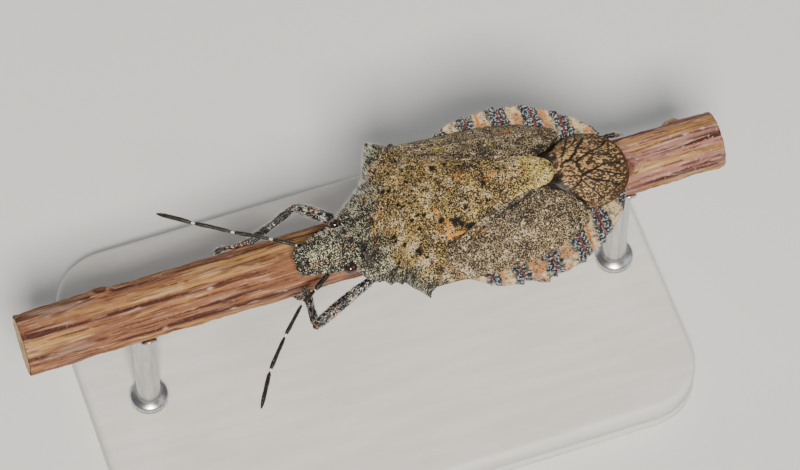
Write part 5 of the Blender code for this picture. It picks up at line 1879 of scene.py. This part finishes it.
@dataclass(frozen=True)
class Stand:
    """Plain painted base, and two steel rods that cradle the twig."""

    size: Point = (30.0, 18.0, 2.0)
    corner: float = 3.0
    bevel: float = 0.35
    groove: Stations = ((0.0, 0.62), (0.1, 0.7), (0.1, 0.8), (0.0, 0.88))
    rods: tuple[float, float] = (-12.0, 13.0)
    foot: Stations = ((-0.05, 0.98), (0.3, 0.98), (0.4, 0.9), (0.45, 0.62), (0.6, 0.6))
    neck: Stations = ((-0.9, 0.6), (-0.4, 0.52), (0.02, 0.45))
    cradle_turn: float = math.radians(64)
    cradle_wire: float = 0.17
    cradle_spread: float = 1.6
    axis: float = 11.0
    twig: Twig = Twig()

    def outline(self, inset: float, z: float) -> Array:
        """Rectangle with round corners at one height."""
        length, width, _ = self.size
        turn = np.linspace(0.0, 0.5 * math.pi, 16)
        corner = self.corner - inset
        ring = []
        for k, (sx, sy) in enumerate(((1, 1), (-1, 1), (-1, -1), (1, -1))):
            ring.append(np.stack((sx * (length / 2 - self.corner) + corner * np.cos(turn + k * math.pi / 2),
                                  sy * (width / 2 - self.corner) + corner * np.sin(turn + k * math.pi / 2),
                                  z + 0.0 * turn), -1))
        return np.concatenate(ring)

    def dress(self, finish: Finishes) -> None:
        """Build the base and the rods."""
        height = self.size[2]
        low = self.bevel * 0.6
        profile = [(low, 0.0), (0.0, low), *self.groove, (0.0, height - self.bevel)]
        profile += [(self.bevel * (1 - math.cos(a)), height - self.bevel * (1 - math.sin(a)))
                    for a in np.linspace(0.15, 0.5 * math.pi, 8)]
        profile += [(inset, height) for inset in (0.6, 1.2, 2.0, 2.8)]
        form = Form()
        form.add_tube(np.stack([self.outline(inset, z) for inset, z in profile]))
        hang(form.build("base_paint", STAND_PLACE, finish.paint), "stand_paint", "stand_base")
        for name, x in zip(("front", "rear"), self.rods):
            self.dress_rod(finish, name, x)

    def dress_rod(self, finish: Finishes, name: str, x: float) -> None:
        """Build one rod with a collar at its foot and a cradle under the twig."""
        radius = self.twig.radius(x - PERCH_PLACE.origin[0])
        top = self.axis - radius - 0.05
        profile = [(self.size[2] + up, r) for up, r in self.foot] + [(top + up, r) for up, r in self.neck]
        form = Form()
        form.add_tube(np.stack([level_ring((x, 0.0, z), r, 48) for z, r in profile]))
        turn = np.linspace(-self.cradle_turn, self.cradle_turn, 60)
        reach = radius + 0.10
        path = np.stack((x + 0.0 * turn, reach * np.sin(turn), self.axis - reach * np.cos(turn)), -1)
        thick = self.cradle_wire * np.sqrt(np.clip(1.0 - (np.abs(turn) / turn[-1]) ** 12, 0.01, 1.0))
        cradle = tube_grid(path, thick, 24)[0]
        cradle[..., 0] += self.cradle_spread * (cradle[..., 0] - x)
        form.add_tube(cradle)
        hang(form.build(f"rod_{name}_steel", STAND_PLACE, finish.steel), "stand_steel", f"stand_rod_{name}")


def level_ring(centre: Point, radius: float, sides: int) -> Array:
    """Level ring of points about a centre."""
    turn = 2.0 * math.pi * np.arange(sides) / sides
    return np.stack((centre[0] + radius * np.cos(turn), centre[1] + radius * np.sin(turn),
                     centre[2] + 0.0 * turn), -1)


@dataclass(frozen=True)
class Lamp:
    """One square area light, with its place and width in metres."""

    name: str
    place: Point
    size: float
    power: float
    colour: Colour


@dataclass(frozen=True)
class Studio:
    """Pale floor, soft lights and the camera of the photograph."""

    target: Point = (0.69, -2.0, 14.47)
    toward: Point = (-0.1628, -0.4728, 0.866)
    distance: float = 214.7
    lens: float = 200.0
    floor: float = 3.0
    paper: tuple[Colour, Colour] = ((0.76, 0.76, 0.75), (0.82, 0.82, 0.81))
    sky: Colour = (0.86, 0.89, 0.93)
    sky_strength: float = 0.17
    lamps: tuple[Lamp, ...] = (
        Lamp("key", (-0.05, -0.22, 0.30), 0.075, 1.95, (1.0, 0.955, 0.87)),
        Lamp("fill", (0.30, -0.10, 0.24), 0.30, 0.26, (0.93, 0.96, 1.0)),
        Lamp("rear", (-0.10, 0.34, 0.22), 0.24, 0.3, (1.0, 0.98, 0.94)))

    def build(self) -> None:
        """Set the floor, the world, the lights and the camera."""
        g = Graph("floor_paper", 0.85, 0.2)
        g.bump(g.noise(g.place(), 0.8, 3.0), 0.01)
        paper = g.done(g.mix(g.noise(g.place((0.02, 0.02, 0.02)), 1.0), *self.paper))
        half = self.floor / 2
        mesh = bpy.data.meshes.new("studio_floor")
        corners = [(-half, -half, 0), (half, -half, 0), (half, half, 0), (-half, half, 0)]
        mesh.from_pydata(corners, [], [(0, 1, 2, 3)])
        mesh.materials.append(paper)
        link("studio_floor", mesh)
        world = bpy.data.worlds.new("studio")
        bpy.context.scene.world = world
        world.use_nodes = True
        sky = world.node_tree.nodes["Background"]
        sky.inputs["Color"].default_value = (*self.sky, 1.0)
        sky.inputs["Strength"].default_value = self.sky_strength
        target = Vector(self.target) * MM
        for lamp in self.lamps:
            light = bpy.data.lights.new(lamp.name, "AREA")
            light.size, light.energy, light.color = lamp.size, lamp.power, lamp.colour
            stand = link(lamp.name, light)
            stand.location = lamp.place
            stand.rotation_euler = (Vector(lamp.place) - target).to_track_quat("Z", "Y").to_euler()
        camera = bpy.data.cameras.new("camera")
        camera.lens = self.lens
        camera.sensor_width = 36.0
        camera.clip_start, camera.clip_end = 0.01, 10.0
        eye = link("camera", camera)
        away = Vector(self.toward).normalized()
        eye.location = target + away * self.distance * MM
        eye.rotation_euler = away.to_track_quat("Z", "Y").to_euler()
        bpy.context.scene.camera = eye


def main() -> None:
    """Build every piece in order."""
    logging.basicConfig(level=logging.INFO, format="%(message)s")
    finish = Finishes()
    Studio().build()
    for part in (Stand(), Twig(), BodySkin(), Head(), Beak(), Feelers(), Legs(), Pronotum(), Scutellum(),
                 Forewings()):
        part.dress(finish)


if __name__ == "__main__":
    main()
